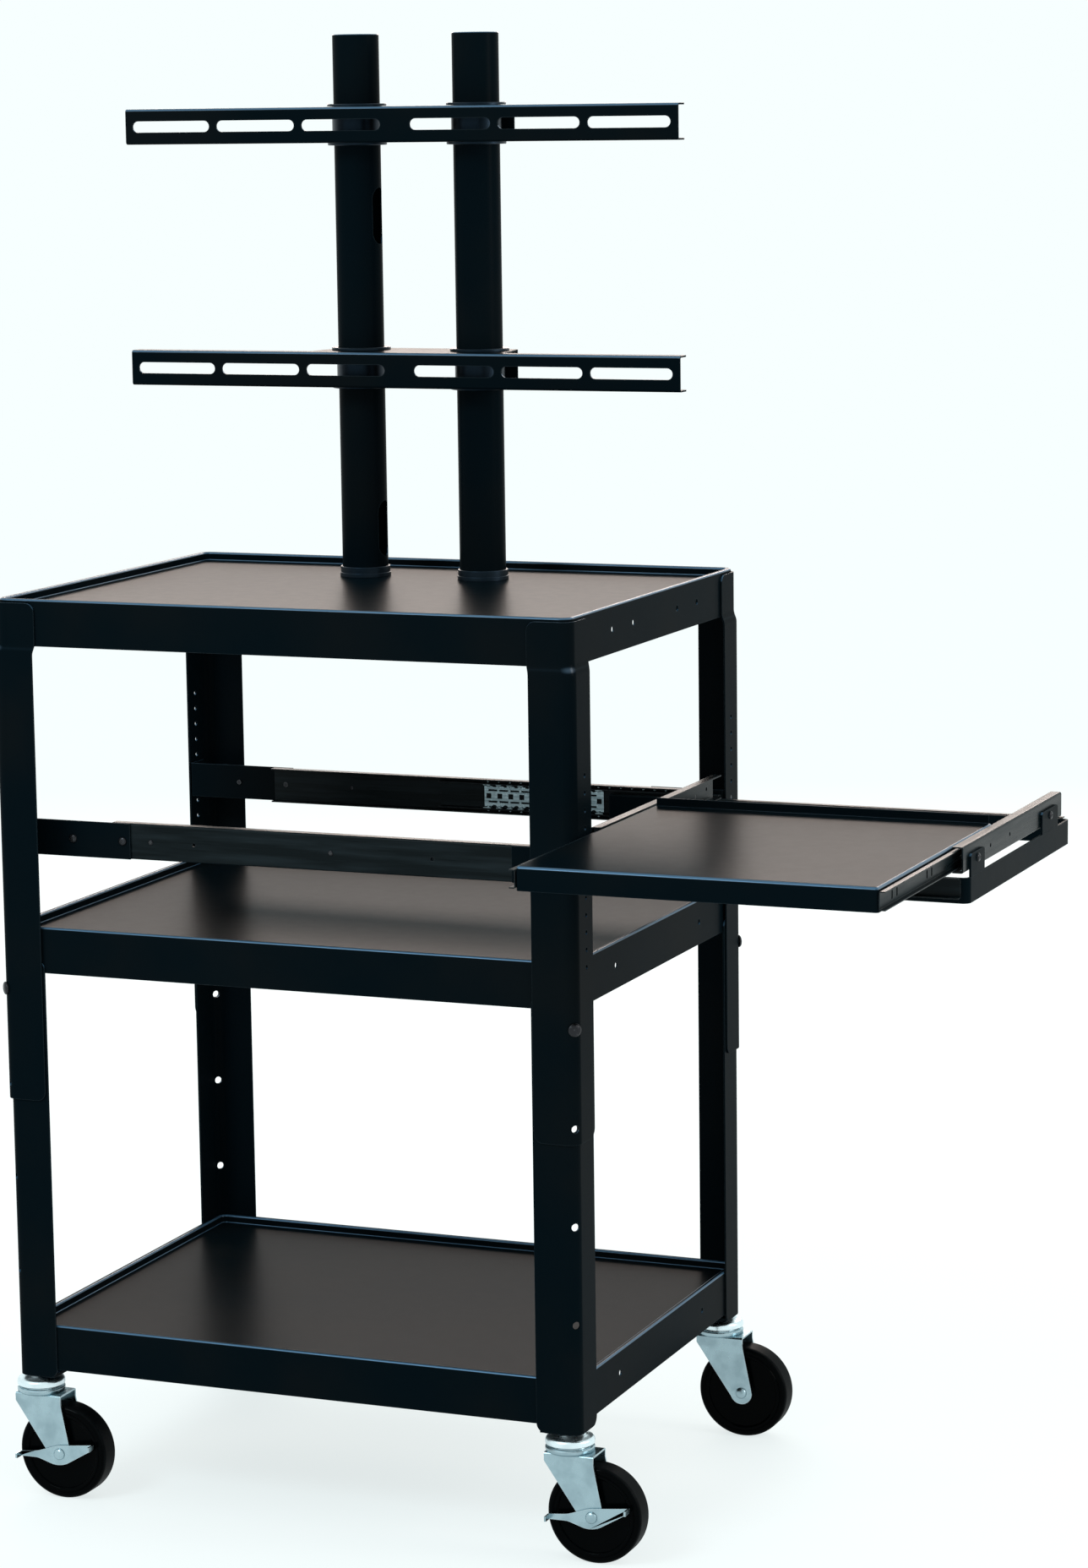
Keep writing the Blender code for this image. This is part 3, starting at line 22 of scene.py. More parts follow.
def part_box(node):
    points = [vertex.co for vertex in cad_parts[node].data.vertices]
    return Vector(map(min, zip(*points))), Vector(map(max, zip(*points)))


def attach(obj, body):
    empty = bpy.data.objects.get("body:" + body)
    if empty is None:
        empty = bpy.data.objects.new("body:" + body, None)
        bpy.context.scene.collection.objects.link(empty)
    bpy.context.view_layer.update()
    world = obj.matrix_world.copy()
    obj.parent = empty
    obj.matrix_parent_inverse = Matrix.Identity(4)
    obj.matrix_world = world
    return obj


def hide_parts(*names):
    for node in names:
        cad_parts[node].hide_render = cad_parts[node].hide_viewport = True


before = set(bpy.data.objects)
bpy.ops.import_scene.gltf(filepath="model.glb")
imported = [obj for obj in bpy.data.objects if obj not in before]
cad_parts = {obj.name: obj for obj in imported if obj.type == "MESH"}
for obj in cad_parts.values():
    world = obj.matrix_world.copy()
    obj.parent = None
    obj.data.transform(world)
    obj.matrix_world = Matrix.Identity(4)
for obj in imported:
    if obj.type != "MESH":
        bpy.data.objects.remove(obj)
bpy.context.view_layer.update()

Point = tuple[float, float, float]
Flat = tuple[float, float]
Colour = tuple[float, float, float]
Socket = bpy.types.NodeSocket
PointTest = Callable[[Vector], bool]
PairTest = Callable[[Vector, Vector], bool]

GAP = 0.0003
OVERRUN = 0.002
TINY = 1e-5
FACING = 0.5
UP = (0.0, 0.0, 1.0)
BACKWARDS = (0.0, 1.0, 0.0)
SMALL_ROUND = 20
SCREW_ROUND = 24
MEDIUM_ROUND = 32
LARGE_ROUND = 64
FINE_ROUND = 96
BLUE_SHEEN = (0.34, 0.64, 1.0)
SHEET_EDGE = 0.0004
THIN_EDGE = 0.0003
RAIL_EDGE = 0.0002
CURVE_ANGLE = 40

SHELF_LENGTH = 0.640
SHELF_DEPTH = 0.480
HALF_LENGTH = SHELF_LENGTH / 2
HALF_DEPTH = SHELF_DEPTH / 2
SHELF_SKIRT = 0.049
LIP_HEIGHT = 0.009
TOP_RIM = 0.965
MIDDLE_RIM = 0.6206
BOTTOM_RIM = 0.191
TOP_DECK = TOP_RIM - LIP_HEIGHT

LEG_SHEET = 0.002
LEG_PLANE = 0.0023
LEG_STEP = 0.0023
LEG_CORNER = 0.012
HEIGHT_PITCH = 0.1016
BOLT_Z = 0.5532

POLE_RADIUS = 0.025
POLE_HALF_SPACING = 0.0697
POLE_Y = 0.375

SLIDE_Z = 0.7088
SLIDE_Y = 0.0438
SLIDE_DEPTH = 0.0127
SLIDE_HEIGHT = 0.038
SLIDE_LENGTH = 0.508
MIDDLE_LENGTH = 0.330
SLIDE_SHEET = 0.0014
MEMBER_SHEET = 0.0012
BALL_DIAMETER = 0.003
RETAINER_SHEET = 0.0008
MIDDLE_HEIGHT = SLIDE_HEIGHT - 2 * (SLIDE_SHEET + BALL_DIAMETER)
INNER_HEIGHT = MIDDLE_HEIGHT - 2 * (MEMBER_SHEET + BALL_DIAMETER)
MIDDLE_DEPTH = SLIDE_SHEET + 0.0006
OUTER_LEFT = -0.215
MIDDLE_LEFT = -0.010
INNER_LEFT = 0.195

ARM_Y = SLIDE_Y + SLIDE_DEPTH + GAP
BAR_SHEET = 0.0025
BAR_LOW = 0.693
BAR_HIGH = 0.7184
CARRIAGE_RIGHT = 0.711
CROSS_BAR_X = 0.3213
TAB_TOP = 0.7413
TAB_SPANS = ((ARM_Y + 0.008, ARM_Y + 0.054), (ARM_Y + 0.262, ARM_Y + 0.320))

TRAY_LEFT = 0.3346
TRAY_RIGHT = 0.6952
TRAY_FRONT = -0.180
TRAY_BACK = 0.190
TRAY_TOP = 0.750
TRAY_SLIDE_Z = 0.7373
TRAY_SLIDE_HEIGHT = 0.026
TRAY_SLIDE_X = CARRIAGE_RIGHT - BAR_SHEET - GAP

WHEEL_RADIUS = 0.0508
CASTER_TOP = 0.1331
CASTER_TRAIL = 0.030
FORK_PLATE_TOP = 0.1137
FORK_OUTER = 0.0178
FORK_FACE = FORK_OUTER + GAP
PEDAL_SHEET = 0.002

ORIGIN_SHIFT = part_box("top_shelf")[0] - Vector((-HALF_LENGTH, 0, TOP_RIM - SHELF_SKIRT))

log = logging.getLogger("cart")


class Element(Enum):
    """What an editing step selects."""

    VERTEX = "VERT"
    EDGE = "EDGE"
    FACE = "FACE"


class Axis(Enum):
    """Direction along which an outline is pulled out."""

    X = 0
    Y = 1
    Z = 2


class Place(Enum):
    """Place on the cart."""

    @property
    def word(self) -> str:
        """Name in small letters, as the pieces' names have it."""
        return self.name.lower()


class Side(Place):
    """Left or right of the cart."""

    LEFT = -1
    RIGHT = 1


class Row(Place):
    """Front or back of the cart."""

    FRONT = -1
    BACK = 1


class Slot(Enum):
    """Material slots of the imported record."""

    COAT = "black_coat"
    SLIDE = "black_slide_steel"
    RETAINER = "retainer_steel"
    ZINC = "zinc_plate"
    BOLT = "black_bolt"
    PLASTIC = "black_plastic"
    WHEEL = "wheel_black"


@dataclass(frozen=True)
class Finish:
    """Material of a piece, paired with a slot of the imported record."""

    material: bpy.types.Material
    slot: Slot


def arc(centre: Flat, radius: float, start: float, end: float, steps: int) -> list[Flat]:
    """Points of an arc in a plane.

    Args:
        centre: Middle of the arc.
        radius: Its radius.
        start: First angle, in degrees.
        end: Last angle, in degrees.
        steps: Number of straight steps.

    Returns:
        The points, both ends included.
    """
    points = []
    for step in range(steps + 1):
        angle = math.radians(start + (end - start) * step / steps)
        points.append((centre[0] + radius * math.cos(angle), centre[1] + radius * math.sin(angle)))
    return points


def obround(centre: Flat, length: float, height: float, steps: int = 10) -> list[Flat]:
    """Outline of a slot with round ends.

    Args:
        centre: Middle of the slot.
        length: Whole length, along the first axis.
        height: Width of the slot.
        steps: Straight steps in each round end.

    Returns:
        The outline's points.
    """
    radius = height / 2
    reach = length / 2 - radius
    right = arc((centre[0] + reach, centre[1]), radius, -90, 90, steps)
    return right + arc((centre[0] - reach, centre[1]), radius, 90, 270, steps)


class Workpiece:
    """One mesh under the maker's hands, in the cart's own axes."""

    def __init__(self, item: bpy.types.Object) -> None:
        """Take up an object."""
        self.item = item

    @staticmethod
    def let_go() -> None:
        """Leave edit mode and deselect everything."""
        if bpy.context.mode != "OBJECT":
            bpy.ops.object.mode_set(mode="OBJECT")
        bpy.ops.object.select_all(action="DESELECT")

    @classmethod
    def take(cls, name: str) -> "Workpiece":
        """Name the primitive that was just added, and apply its place."""
        item = bpy.context.object
        item.name = name
        item.data.name = name
        bpy.ops.object.transform_apply(location=True, rotation=True, scale=True)
        return cls(item)

    @classmethod
    def block(cls, name: str, low: Sequence[float], high: Sequence[float]) -> "Workpiece":
        """Box between two corners.

        Args:
            name: Name of the piece.
            low: One corner.
            high: The opposite corner.

        Returns:
            The new workpiece.
        """
        cls.let_go()
        near = Vector(map(min, low, high))
        far = Vector(map(max, low, high))
        bpy.ops.mesh.primitive_cube_add(size=1, location=(near + far) / 2)
        bpy.context.object.scale = far - near
        return cls.take(name)

    @classmethod
    def plate(cls, name: str, outline: Sequence[Flat], axis: Axis, low: float, high: float) -> "Workpiece":
        """Flat outline pulled out along an axis.

        Args:
            name: Name of the piece.
            outline: Points in the plane across the axis.
            axis: Direction of the pull.
            low: Where the outline starts.
            high: Where it ends.

        Returns:
            The new workpiece.
        """
        cls.let_go()
        bpy.ops.mesh.primitive_circle_add(vertices=len(outline), radius=1, fill_type="NGON")
        work = cls.take(name)
        for vertex, point in zip(work.item.data.vertices, outline):
            place = list(point)
            place.insert(axis.value, low)
            vertex.co = place
        pull = [0.0, 0.0, 0.0]
        pull[axis.value] = high - low
        work.edit()
        bpy.ops.mesh.select_all(action="SELECT")
        bpy.ops.mesh.extrude_region_move(TRANSFORM_OT_translate={"value": pull})
        bpy.ops.mesh.select_all(action="SELECT")
        bpy.ops.mesh.normals_make_consistent(inside=False)
        bpy.ops.object.mode_set(mode="OBJECT")
        return work

    @classmethod
    def turned(cls, name: str, profile: Sequence[Flat], centre: Sequence[float], axis: Sequence[float],
               sides: int, start_cap: bool = True, end_cap: bool = True) -> "Workpiece":
        """Round shape made of rings along an axis, each pulled out from the last and resized.

        Args:
            name: Name of the piece.
            profile: Radius and height of each ring. The last equals the first where there is a bore.
            centre: Point from which the heights are measured.
            axis: Direction of the heights.
            sides: Facets around.
            start_cap: Whether the first ring is filled.
            end_cap: Whether the last ring is filled.

        Returns:
            The new workpiece.
        """
        cls.let_go()
        radius, height = profile[0]
        fill = "NGON" if start_cap else "NOTHING"
        start = (0, 0, height)
        bpy.ops.mesh.primitive_circle_add(vertices=sides, radius=radius, location=start, fill_type=fill)
        work = cls.take(name)
        work.edit()
        bpy.ops.mesh.select_mode(type="EDGE")
        for next_radius, next_height in profile[1:]:
            if start_cap:
                work.pick(Element.EDGE, lambda a, b, z=height: abs(a.z - z) < TINY and abs(b.z - z) < TINY)
                start_cap = False
            elif height == profile[0][1] and radius == profile[0][0]:
                bpy.ops.mesh.select_all(action="SELECT")
            bpy.ops.mesh.extrude_edges_move(TRANSFORM_OT_translate={"value": (0, 0, next_height - height)})
            scale = next_radius / radius
            bpy.ops.transform.resize(value=(scale, scale, 1), center_override=(0, 0, next_height))
            radius, height = next_radius, next_height
        if end_cap:
            bpy.ops.mesh.edge_face_add()
        bpy.ops.mesh.select_all(action="SELECT")
        bpy.ops.mesh.remove_doubles(threshold=TINY)
        bpy.ops.mesh.normals_make_consistent(inside=False)
        bpy.ops.object.mode_set(mode="OBJECT")
        work.item.rotation_mode = "QUATERNION"
        work.item.rotation_quaternion = Vector(axis).to_track_quat("Z", "Y")
        work.item.location = centre
        bpy.ops.object.transform_apply(location=True, rotation=True, scale=True)
        return work

    @classmethod
    def rod(cls, name: str, start: Sequence[float], end: Sequence[float], radius: float,
            sides: int = MEDIUM_ROUND) -> "Workpiece":
        """Plain round bar between two points.

        Args:
            name: Name of the piece.
            start: One end.
            end: The other end.
            radius: Radius of the bar.
            sides: Facets around.

        Returns:
            The new workpiece.
        """
        run = Vector(end) - Vector(start)
        return cls.turned(name, ((radius, 0), (radius, run.length)), start, run, sides)

    @classmethod
    def drill(cls, start: Sequence[float], end: Sequence[float], radius: float,
              sides: int = SMALL_ROUND) -> "Workpiece":
        """Round tool that cuts a hole from one point to another."""
        return cls.rod("drill", start, end, radius, sides)

    def hold(self) -> None:
        """Make this the only selected, active object."""
        self.let_go()
        self.item.select_set(True)
        bpy.context.view_layer.objects.active = self.item

    def edit(self) -> None:
        """Start editing this mesh."""
        self.hold()
        bpy.ops.object.mode_set(mode="EDIT")

    def pick(self, kind: Element, where: Callable[..., bool]) -> None:
        """Select elements in edit mode by their place.

        Args:
            kind: What to select.
            where: Test of a vertex's place, an edge's two ends, or a face's centre and normal.
        """
        bpy.ops.mesh.select_mode(type=kind.value)
        bpy.ops.mesh.select_all(action="DESELECT")
        mesh = bmesh.from_edit_mesh(self.item.data)
        if kind is Element.VERTEX:
            found = [vertex for vertex in mesh.verts if where(vertex.co)]
        elif kind is Element.EDGE:
            found = [edge for edge in mesh.edges if where(edge.verts[0].co, edge.verts[1].co)]
        else:
            found = [face for face in mesh.faces if where(face.calc_center_median(), face.normal)]
        for element in found:
            element.select_set(True)
        mesh.select_flush_mode()
        bmesh.update_edit_mesh(self.item.data)

    def work_on(self, kind: Element, where: Callable[..., bool], step: Callable[..., object],
                **settings: object) -> "Workpiece":
        """Pick elements, and take one modelling step on them."""
        self.edit()
        self.pick(kind, where)
        step(**settings)
        bpy.ops.object.mode_set(mode="OBJECT")
        return self

    def remove_faces(self, where: PairTest) -> "Workpiece":
        """Delete the faces that pass a test of centre and normal."""
        return self.work_on(Element.FACE, where, bpy.ops.mesh.delete, type="FACE")

    def round_edges(self, where: PairTest, radius: float, steps: int = 6) -> "Workpiece":
        """Bevel the edges whose two ends pass a test."""
        return self.work_on(Element.EDGE, where, bpy.ops.mesh.bevel, offset_type="OFFSET", offset=radius,
                            segments=steps, affect="EDGES")

    def round_points(self, where: PointTest, radius: float, steps: int = 8) -> "Workpiece":
        """Round off the free corners of an open sheet."""
        return self.work_on(Element.VERTEX, where, bpy.ops.mesh.bevel, offset_type="OFFSET", offset=radius,
                            segments=steps, affect="VERTICES")

    def sink(self, where: PairTest, inset: float, depth: Point) -> "Workpiece":
        """Inset faces and pull the inner part by a vector."""
        self.edit()
        self.pick(Element.FACE, where)
        bpy.ops.mesh.inset(thickness=inset, depth=0, use_even_offset=True)
        bpy.ops.mesh.extrude_region_move(TRANSFORM_OT_translate={"value": depth})
        bpy.ops.object.mode_set(mode="OBJECT")
        return self

    def pull_edges(self, where: PairTest, move: Point) -> "Workpiece":
        """Extrude open edges by a vector."""
        return self.work_on(Element.EDGE, where, bpy.ops.mesh.extrude_edges_move,
                            TRANSFORM_OT_translate={"value": move})

    def shift(self, where: PointTest, move: Sequence[float]) -> "Workpiece":
        """Move the vertices that pass a test."""
        return self.work_on(Element.VERTEX, where, bpy.ops.transform.translate, value=move)

    def slice(self, levels: Iterable[float], axis: Axis) -> "Workpiece":
        """Add an edge loop in each of several planes across an axis."""
        self.edit()
        normal = [0.0, 0.0, 0.0]
        normal[axis.value] = 1.0
        for level in levels:
            bpy.ops.mesh.select_all(action="SELECT")
            bpy.ops.mesh.bisect(plane_co=[level * part for part in normal], plane_no=normal)
        bpy.ops.object.mode_set(mode="OBJECT")
        return self

    def bridge(self, where: PairTest) -> "Workpiece":
        """Join two rows of open edges with faces."""
        return self.work_on(Element.EDGE, where, bpy.ops.mesh.bridge_edge_loops)

    def modify(self, kind: str, **settings: object) -> "Workpiece":
        """Add a modifier with these settings, and apply it."""
        self.hold()
        bpy.ops.object.modifier_add(type=kind)
        modifier = self.item.modifiers[-1]
        for name, value in settings.items():
            setattr(modifier, name, value)
        bpy.ops.object.modifier_apply(modifier=modifier.name)
        return self

    def thicken(self, sheet: float) -> "Workpiece":
        """Give an open shell its sheet thickness, inwards."""
        return self.modify("SOLIDIFY", thickness=sheet, offset=-1, use_even_offset=True)

    def combine(self, operation: str, tools: Iterable["Workpiece"]) -> "Workpiece":
        """Cut, join or trim with other workpieces, which are used up."""
        for tool in tools:
            self.modify("BOOLEAN", operation=operation, solver="EXACT", object=tool.item)
            bpy.data.objects.remove(tool.item, do_unlink=True)
        return self

    def cut(self, *tools: "Workpiece") -> "Workpiece":
        """Cut other workpieces out of this one."""
        return self.combine("DIFFERENCE", tools)

    def join(self, *tools: "Workpiece") -> "Workpiece":
        """Weld other workpieces to this one."""
        return self.combine("UNION", tools)

    def soften(self, radius: float, steps: int = 2, sharper_than: float = 50) -> "Workpiece":
        """Break the sharp edges with a small radius."""
        angle = math.radians(sharper_than)
        return self.modify("BEVEL", width=radius, segments=steps, limit_method="ANGLE", angle_limit=angle)

    def smooth(self, degrees: float = 32) -> "Workpiece":
        """Shade curved faces smooth, and keep flat faces flat."""
        self.hold()
        bpy.ops.object.shade_smooth_by_angle(angle=math.radians(degrees))
        return self.modify("WEIGHTED_NORMAL", keep_sharp=True, weight=80)

    def copy(self, name: str, move: Sequence[float] = (0, 0, 0)) -> "Workpiece":
        """Copy with its own mesh, moved by a vector."""
        self.hold()
        bpy.ops.object.duplicate(linked=False)
        double = Workpiece(bpy.context.object)
        double.item.name = name
        double.item.data.name = name
        double.item.data.transform(Matrix.Translation(Vector(move)))
        return double

    def settle(self, finish: Finish, body: str, *stands_for: str) -> "Workpiece":
        """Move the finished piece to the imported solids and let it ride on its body.

        Args:
            finish: Material of the piece, with its slot.
            body: Body that carries it.
            stands_for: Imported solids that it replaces.

        Returns:
            The same workpiece.
        """
        self.let_go()
        self.item.data.transform(Matrix.Translation(ORIGIN_SHIFT))
        self.item.data.materials.clear()
        self.item.data.materials.append(finish.material)
        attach(self.item, body)
        if stands_for:
            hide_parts(*stands_for)
        log.info("%s on %s, %d faces", self.item.name, body, len(self.item.data.polygons))
        return self


class NodeSheet:
    """Node tree of one procedural material, around its Principled shader."""

    def __init__(self, name: str) -> None:
        """Start a material with Object coordinates at hand."""
        self.material = bpy.data.materials.new(name)
        self.material.use_nodes = True
        self.tree = self.material.node_tree
        self.shader = self.tree.nodes["Principled BSDF"]
        self.place = self.add("ShaderNodeTexCoord").outputs["Object"]

    def add(self, kind: str, **values: object) -> bpy.types.Node:
        """Add a node; a value is a socket to link or a constant for the input of that name."""
        node = self.tree.nodes.new(kind)
        for name, value in values.items():
            if hasattr(node, name) and name not in node.inputs:
                setattr(node, name, value)
                continue
            socket = node.inputs[name.replace("_", " ") if name not in node.inputs else name]
            self.feed(socket, value)
        return node

    def feed(self, socket: Socket, value: object) -> None:
        """Link or set one socket."""
        if isinstance(value, Socket):
            self.tree.links.new(value, socket)
        else:
            socket.default_value = value

    def times(self, first: object, second: object) -> Socket:
        """Product of two values."""
        return self.maths("MULTIPLY", first, second)

    def plus(self, first: object, second: object) -> Socket:
        """Sum of two values."""
        return self.maths("ADD", first, second)

    def stretched(self, scale: Point, centre: Sequence[float] = (0, 0, 0)) -> Socket:
        """Object coordinates about a centre, scaled along each axis."""
        moved = [-part * factor for part, factor in zip(centre, scale)]
        return self.add("ShaderNodeMapping", Vector=self.place, Location=moved, Scale=scale).outputs[0]

    def noise(self, scale: float, detail: float, vector: object = None, roughness: float = 0.5) -> Socket:
        """Noise value at a scale in cycles per metre."""
        node = self.add("ShaderNodeTexNoise", Vector=vector or self.place, Scale=scale, Detail=detail,
                        Roughness=roughness)
        return node.outputs["Fac"]

    def ramp(self, value: Socket, low: float, high: float, start: float = 0.0, end: float = 1.0) -> Socket:
        """Map a value from one range to another, smoothly."""
        node = self.add("ShaderNodeMapRange", Value=value)
        node.interpolation_type = "SMOOTHSTEP"
        for name, number in zip(("From Min", "From Max", "To Min", "To Max"), (low, high, start, end)):
            node.inputs[name].default_value = number
        return node.outputs[0]

    def maths(self, operation: str, first: object, second: object) -> Socket:
        """Result of one arithmetic step on two values."""
        node = self.tree.nodes.new("ShaderNodeMath")
        node.operation = operation
        self.feed(node.inputs[0], first)
        self.feed(node.inputs[1], second)
        return node.outputs[0]

    def blend(self, share: object, first: object, second: object) -> Socket:
        """Mix of two colours by a share."""
        node = self.tree.nodes.new("ShaderNodeMix")
        node.data_type = "RGBA"
        self.feed(node.inputs[0], share)
        self.feed(node.inputs[6], first if isinstance(first, Socket) else (*first, 1))
        self.feed(node.inputs[7], second if isinstance(second, Socket) else (*second, 1))
        return node.outputs[2]

    def edges(self, radius: float) -> Socket:
        """Share that is one along sharp edges and zero on flats."""
        soft = self.add("ShaderNodeBevel", Radius=radius)
        soft.samples = 4
        normal = self.add("ShaderNodeNewGeometry").outputs["Normal"]
        match = self.tree.nodes.new("ShaderNodeVectorMath")
        match.operation = "DOT_PRODUCT"
        self.feed(match.inputs[0], soft.outputs[0])
        self.feed(match.inputs[1], normal)
        return self.ramp(match.outputs["Value"], 0.995, 0.86)

    def rub(self, colour: Socket, radius: float, share: float, bare: Colour) -> Socket:
        """Blend a colour in along the sharp edges, as wear; in the powder coat it is partly a painted edge
        highlight.
        """
        return self.blend(self.times(self.edges(radius), share), colour, bare)

    def folds(self) -> Socket:
        """Share that is one on faces that lean upwards and zero on flat and upright ones."""
        normal = self.add("ShaderNodeTexCoord").outputs["Normal"]
        height = self.add("ShaderNodeSeparateXYZ", Vector=normal).outputs["Z"]
        leaning = self.ramp(height, 0.22, 0.50)
        return self.times(leaning, self.ramp(height, 0.90, 0.985, 1.0, 0.0))

    def relief(self, *layers: tuple[Socket, float]) -> None:
        """Bump from several height values, each with its depth in metres."""
        normal = None
        for height, depth in layers:
            node = self.add("ShaderNodeBump", Height=height, Distance=depth, Strength=1.0)
            if normal:
                self.feed(node.inputs["Normal"], normal)
            normal = node.outputs[0]
        self.feed(self.shader.inputs["Normal"], normal)

    def dress(self, **values: object) -> bpy.types.Material:
        """Set the shader's inputs, spaces written as underscores, and return the material."""
        for name, value in values.items():
            self.feed(self.shader.inputs[name.replace("_", " ")], value)
        return self.material


@dataclass(frozen=True)
class PowderCoat:
    """Black powder coat with a fine grain, faint scuffs, lighter edges that are partly wear and partly a
    painted highlight, and glossier upper folds painted with a bluish highlight colour.
    """

    name: str = "black_powder_coat"
    shade: Colour = (0.0010, 0.0036, 0.0054)
    dusty: Colour = (0.0036, 0.0050, 0.0056)
    # Edge colour: partly real edge wear, partly a painted bluish edge highlight.
    rubbed: Colour = (0.020, 0.030, 0.036)
    roughness: float = 0.30
    grain: float = 2400.0
    specular: float = 0.007
    fold_specular: float = 0.90
    fold_sheen: Colour = BLUE_SHEEN
    # Painted highlight: bluish colour blended onto the upward-leaning folds, standing in for the lamps'
    # highlight along the lips.
    thin: Colour = (0.026, 0.064, 0.104)

    def material(self) -> bpy.types.Material:
        """Build the material."""
        sheet = NodeSheet(self.name)
        cloud = sheet.noise(5.5, 4.0)
        mottle = sheet.noise(70.0, 3.0)
        marks = sheet.noise(30.0, 5.0, sheet.stretched((0.35, 3.0, 3.0)), 0.62)
        scuffs = sheet.ramp(marks, 0.55, 0.85)
        colour = sheet.blend(sheet.ramp(cloud, 0.35, 0.75, 0.0, 0.75), self.shade, self.dusty)
        # Lighter edges: partly wear, partly a painted edge highlight.
        colour = sheet.rub(colour, 0.0011, 0.75, self.rubbed)
        least, most = self.roughness - 0.006, self.roughness + 0.010
        rough = sheet.plus(sheet.ramp(mottle, 0.3, 0.7, least, most), sheet.times(scuffs, 0.012))
        folds = sheet.folds()
        # Painted highlight: the folds' base colour is blended towards a bluish highlight colour.
        colour = sheet.blend(folds, colour, self.thin)
        gloss = sheet.ramp(folds, 0.0, 1.0, self.specular, self.fold_specular)
        sheen = sheet.blend(folds, (1.0, 1.0, 1.0), self.fold_sheen)
        sheet.relief((sheet.noise(420.0, 2.0), 0.000016), (sheet.noise(self.grain, 2.0), 0.000018))
        return sheet.dress(Base_Color=colour, Roughness=rough, Specular_IOR_Level=gloss, Specular_Tint=sheen)


@dataclass(frozen=True)
class SlideSteel:
    """Black slide steel with a thin streaky film of grease along its run."""

    name: str
    streaks: Point
    shade: Colour = (0.0020, 0.0045, 0.0055)
    film: Colour = (0.009, 0.015, 0.018)
    rubbed: Colour = (0.06, 0.065, 0.07)
    specular: float = 0.06

    def material(self) -> bpy.types.Material:
        """Build the material."""
        sheet = NodeSheet(self.name)
        along = sheet.stretched(self.streaks)
        streak = sheet.noise(90.0, 4.0, along, 0.6)
        colour = sheet.blend(sheet.ramp(streak, 0.4, 0.7, 0.0, 0.8), self.shade, self.film)
        colour = sheet.rub(colour, 0.0006, 0.6, self.rubbed)
        rough = sheet.ramp(streak, 0.3, 0.7, 0.22, 0.40)
        sheet.relief((sheet.noise(900.0, 2.0, along), 0.000012), (sheet.noise(160.0, 2.0), 0.00003))
        return sheet.dress(Base_Color=colour, Roughness=rough, Specular_IOR_Level=self.specular)


@dataclass(frozen=True)
class PressedSteel:
    """Bright pressed steel of the ball retainers, greenish from its passivation."""

    name: str = "pressed_retainer_steel"
    bright: Colour = (0.38, 0.49, 0.53)
    dull: Colour = (0.20, 0.28, 0.31)

    def material(self) -> bpy.types.Material:
        """Build the material."""
        sheet = NodeSheet(self.name)
        rolled = sheet.noise(60.0, 4.0, sheet.stretched((0.3, 8.0, 8.0)))
        spots = sheet.noise(240.0, 3.0)
        colour = sheet.blend(sheet.ramp(rolled, 0.35, 0.7), self.bright, self.dull)
        rough = sheet.ramp(spots, 0.3, 0.7, 0.26, 0.42)
        sheet.relief((rolled, 0.00003), (spots, 0.00001))
        return sheet.dress(Base_Color=colour, Roughness=rough, Metallic=1.0)


@dataclass(frozen=True)
class ZincPlate:
    """Bright bluish zinc plate with fine grain, stains and rubbed edges."""

    name: str
    bright: Colour = (0.36, 0.49, 0.54)
    stained: Colour = (0.20, 0.29, 0.33)
    worn: Colour = (0.74, 0.80, 0.82)

    def material(self) -> bpy.types.Material:
        """Build the material."""
        sheet = NodeSheet(self.name)
        cloud = sheet.noise(45.0, 5.0)
        cells = sheet.add("ShaderNodeTexVoronoi", Vector=sheet.place, Scale=600.0).outputs["Distance"]
        scratch = sheet.noise(260.0, 3.0, sheet.stretched((0.2, 4.0, 0.6)))
        colour = sheet.blend(sheet.ramp(cloud, 0.4, 0.72, 0.0, 0.5), self.bright, self.stained)
        colour = sheet.rub(colour, 0.0008, 0.7, self.worn)
        rough = sheet.plus(sheet.ramp(cloud, 0.3, 0.7, 0.22, 0.34), sheet.ramp(scratch, 0.5, 0.7, 0.0, 0.10))
        sheet.relief((cloud, 0.00004), (cells, 0.00001), (scratch, 0.00001))
        return sheet.dress(Base_Color=colour, Roughness=rough, Metallic=1.0)


@dataclass(frozen=True)
class BlackOxide:
    """Blackened bolt steel, a little bare on its rims."""

    name: str = "black_oxide_steel"
    shade: Colour = (0.020, 0.021, 0.024)
    bare: Colour = (0.16, 0.17, 0.18)

    def material(self) -> bpy.types.Material:
        """Build the material."""
        sheet = NodeSheet(self.name)
        spots = sheet.noise(380.0, 4.0)
        colour = sheet.blend(sheet.ramp(spots, 0.62, 0.78, 0.0, 0.5), self.shade, self.bare)
        colour = sheet.rub(colour, 0.0006, 0.8, self.bare)
        sheet.relief((spots, 0.00003),)
        return sheet.dress(Base_Color=colour, Roughness=sheet.ramp(spots, 0.3, 0.7, 0.24, 0.4), Metallic=0.85)


@dataclass(frozen=True)
class MouldedPlastic:
    """Moulded black plastic with a fine spark texture."""

    name: str = "moulded_black_plastic"
    shade: Colour = (0.0015, 0.0030, 0.0040)
    worn: Colour = (0.006, 0.008, 0.009)
    specular: float = 0.30
    sheen: Colour = BLUE_SHEEN

    def material(self) -> bpy.types.Material:
        """Build the material."""
        sheet = NodeSheet(self.name)
        cloud = sheet.noise(35.0, 3.0)
        spark = sheet.noise(1800.0, 2.0)
        colour = sheet.blend(sheet.ramp(cloud, 0.4, 0.7, 0.0, 0.8), self.shade, self.worn)
        sheet.relief((spark, 0.00003), (cloud, 0.0001))
        rough = sheet.ramp(spark, 0.3, 0.7, 0.30, 0.42)
        return sheet.dress(Base_Color=colour, Roughness=rough, Specular_IOR_Level=self.specular,
                           Specular_Tint=(*self.sheen, 1.0))


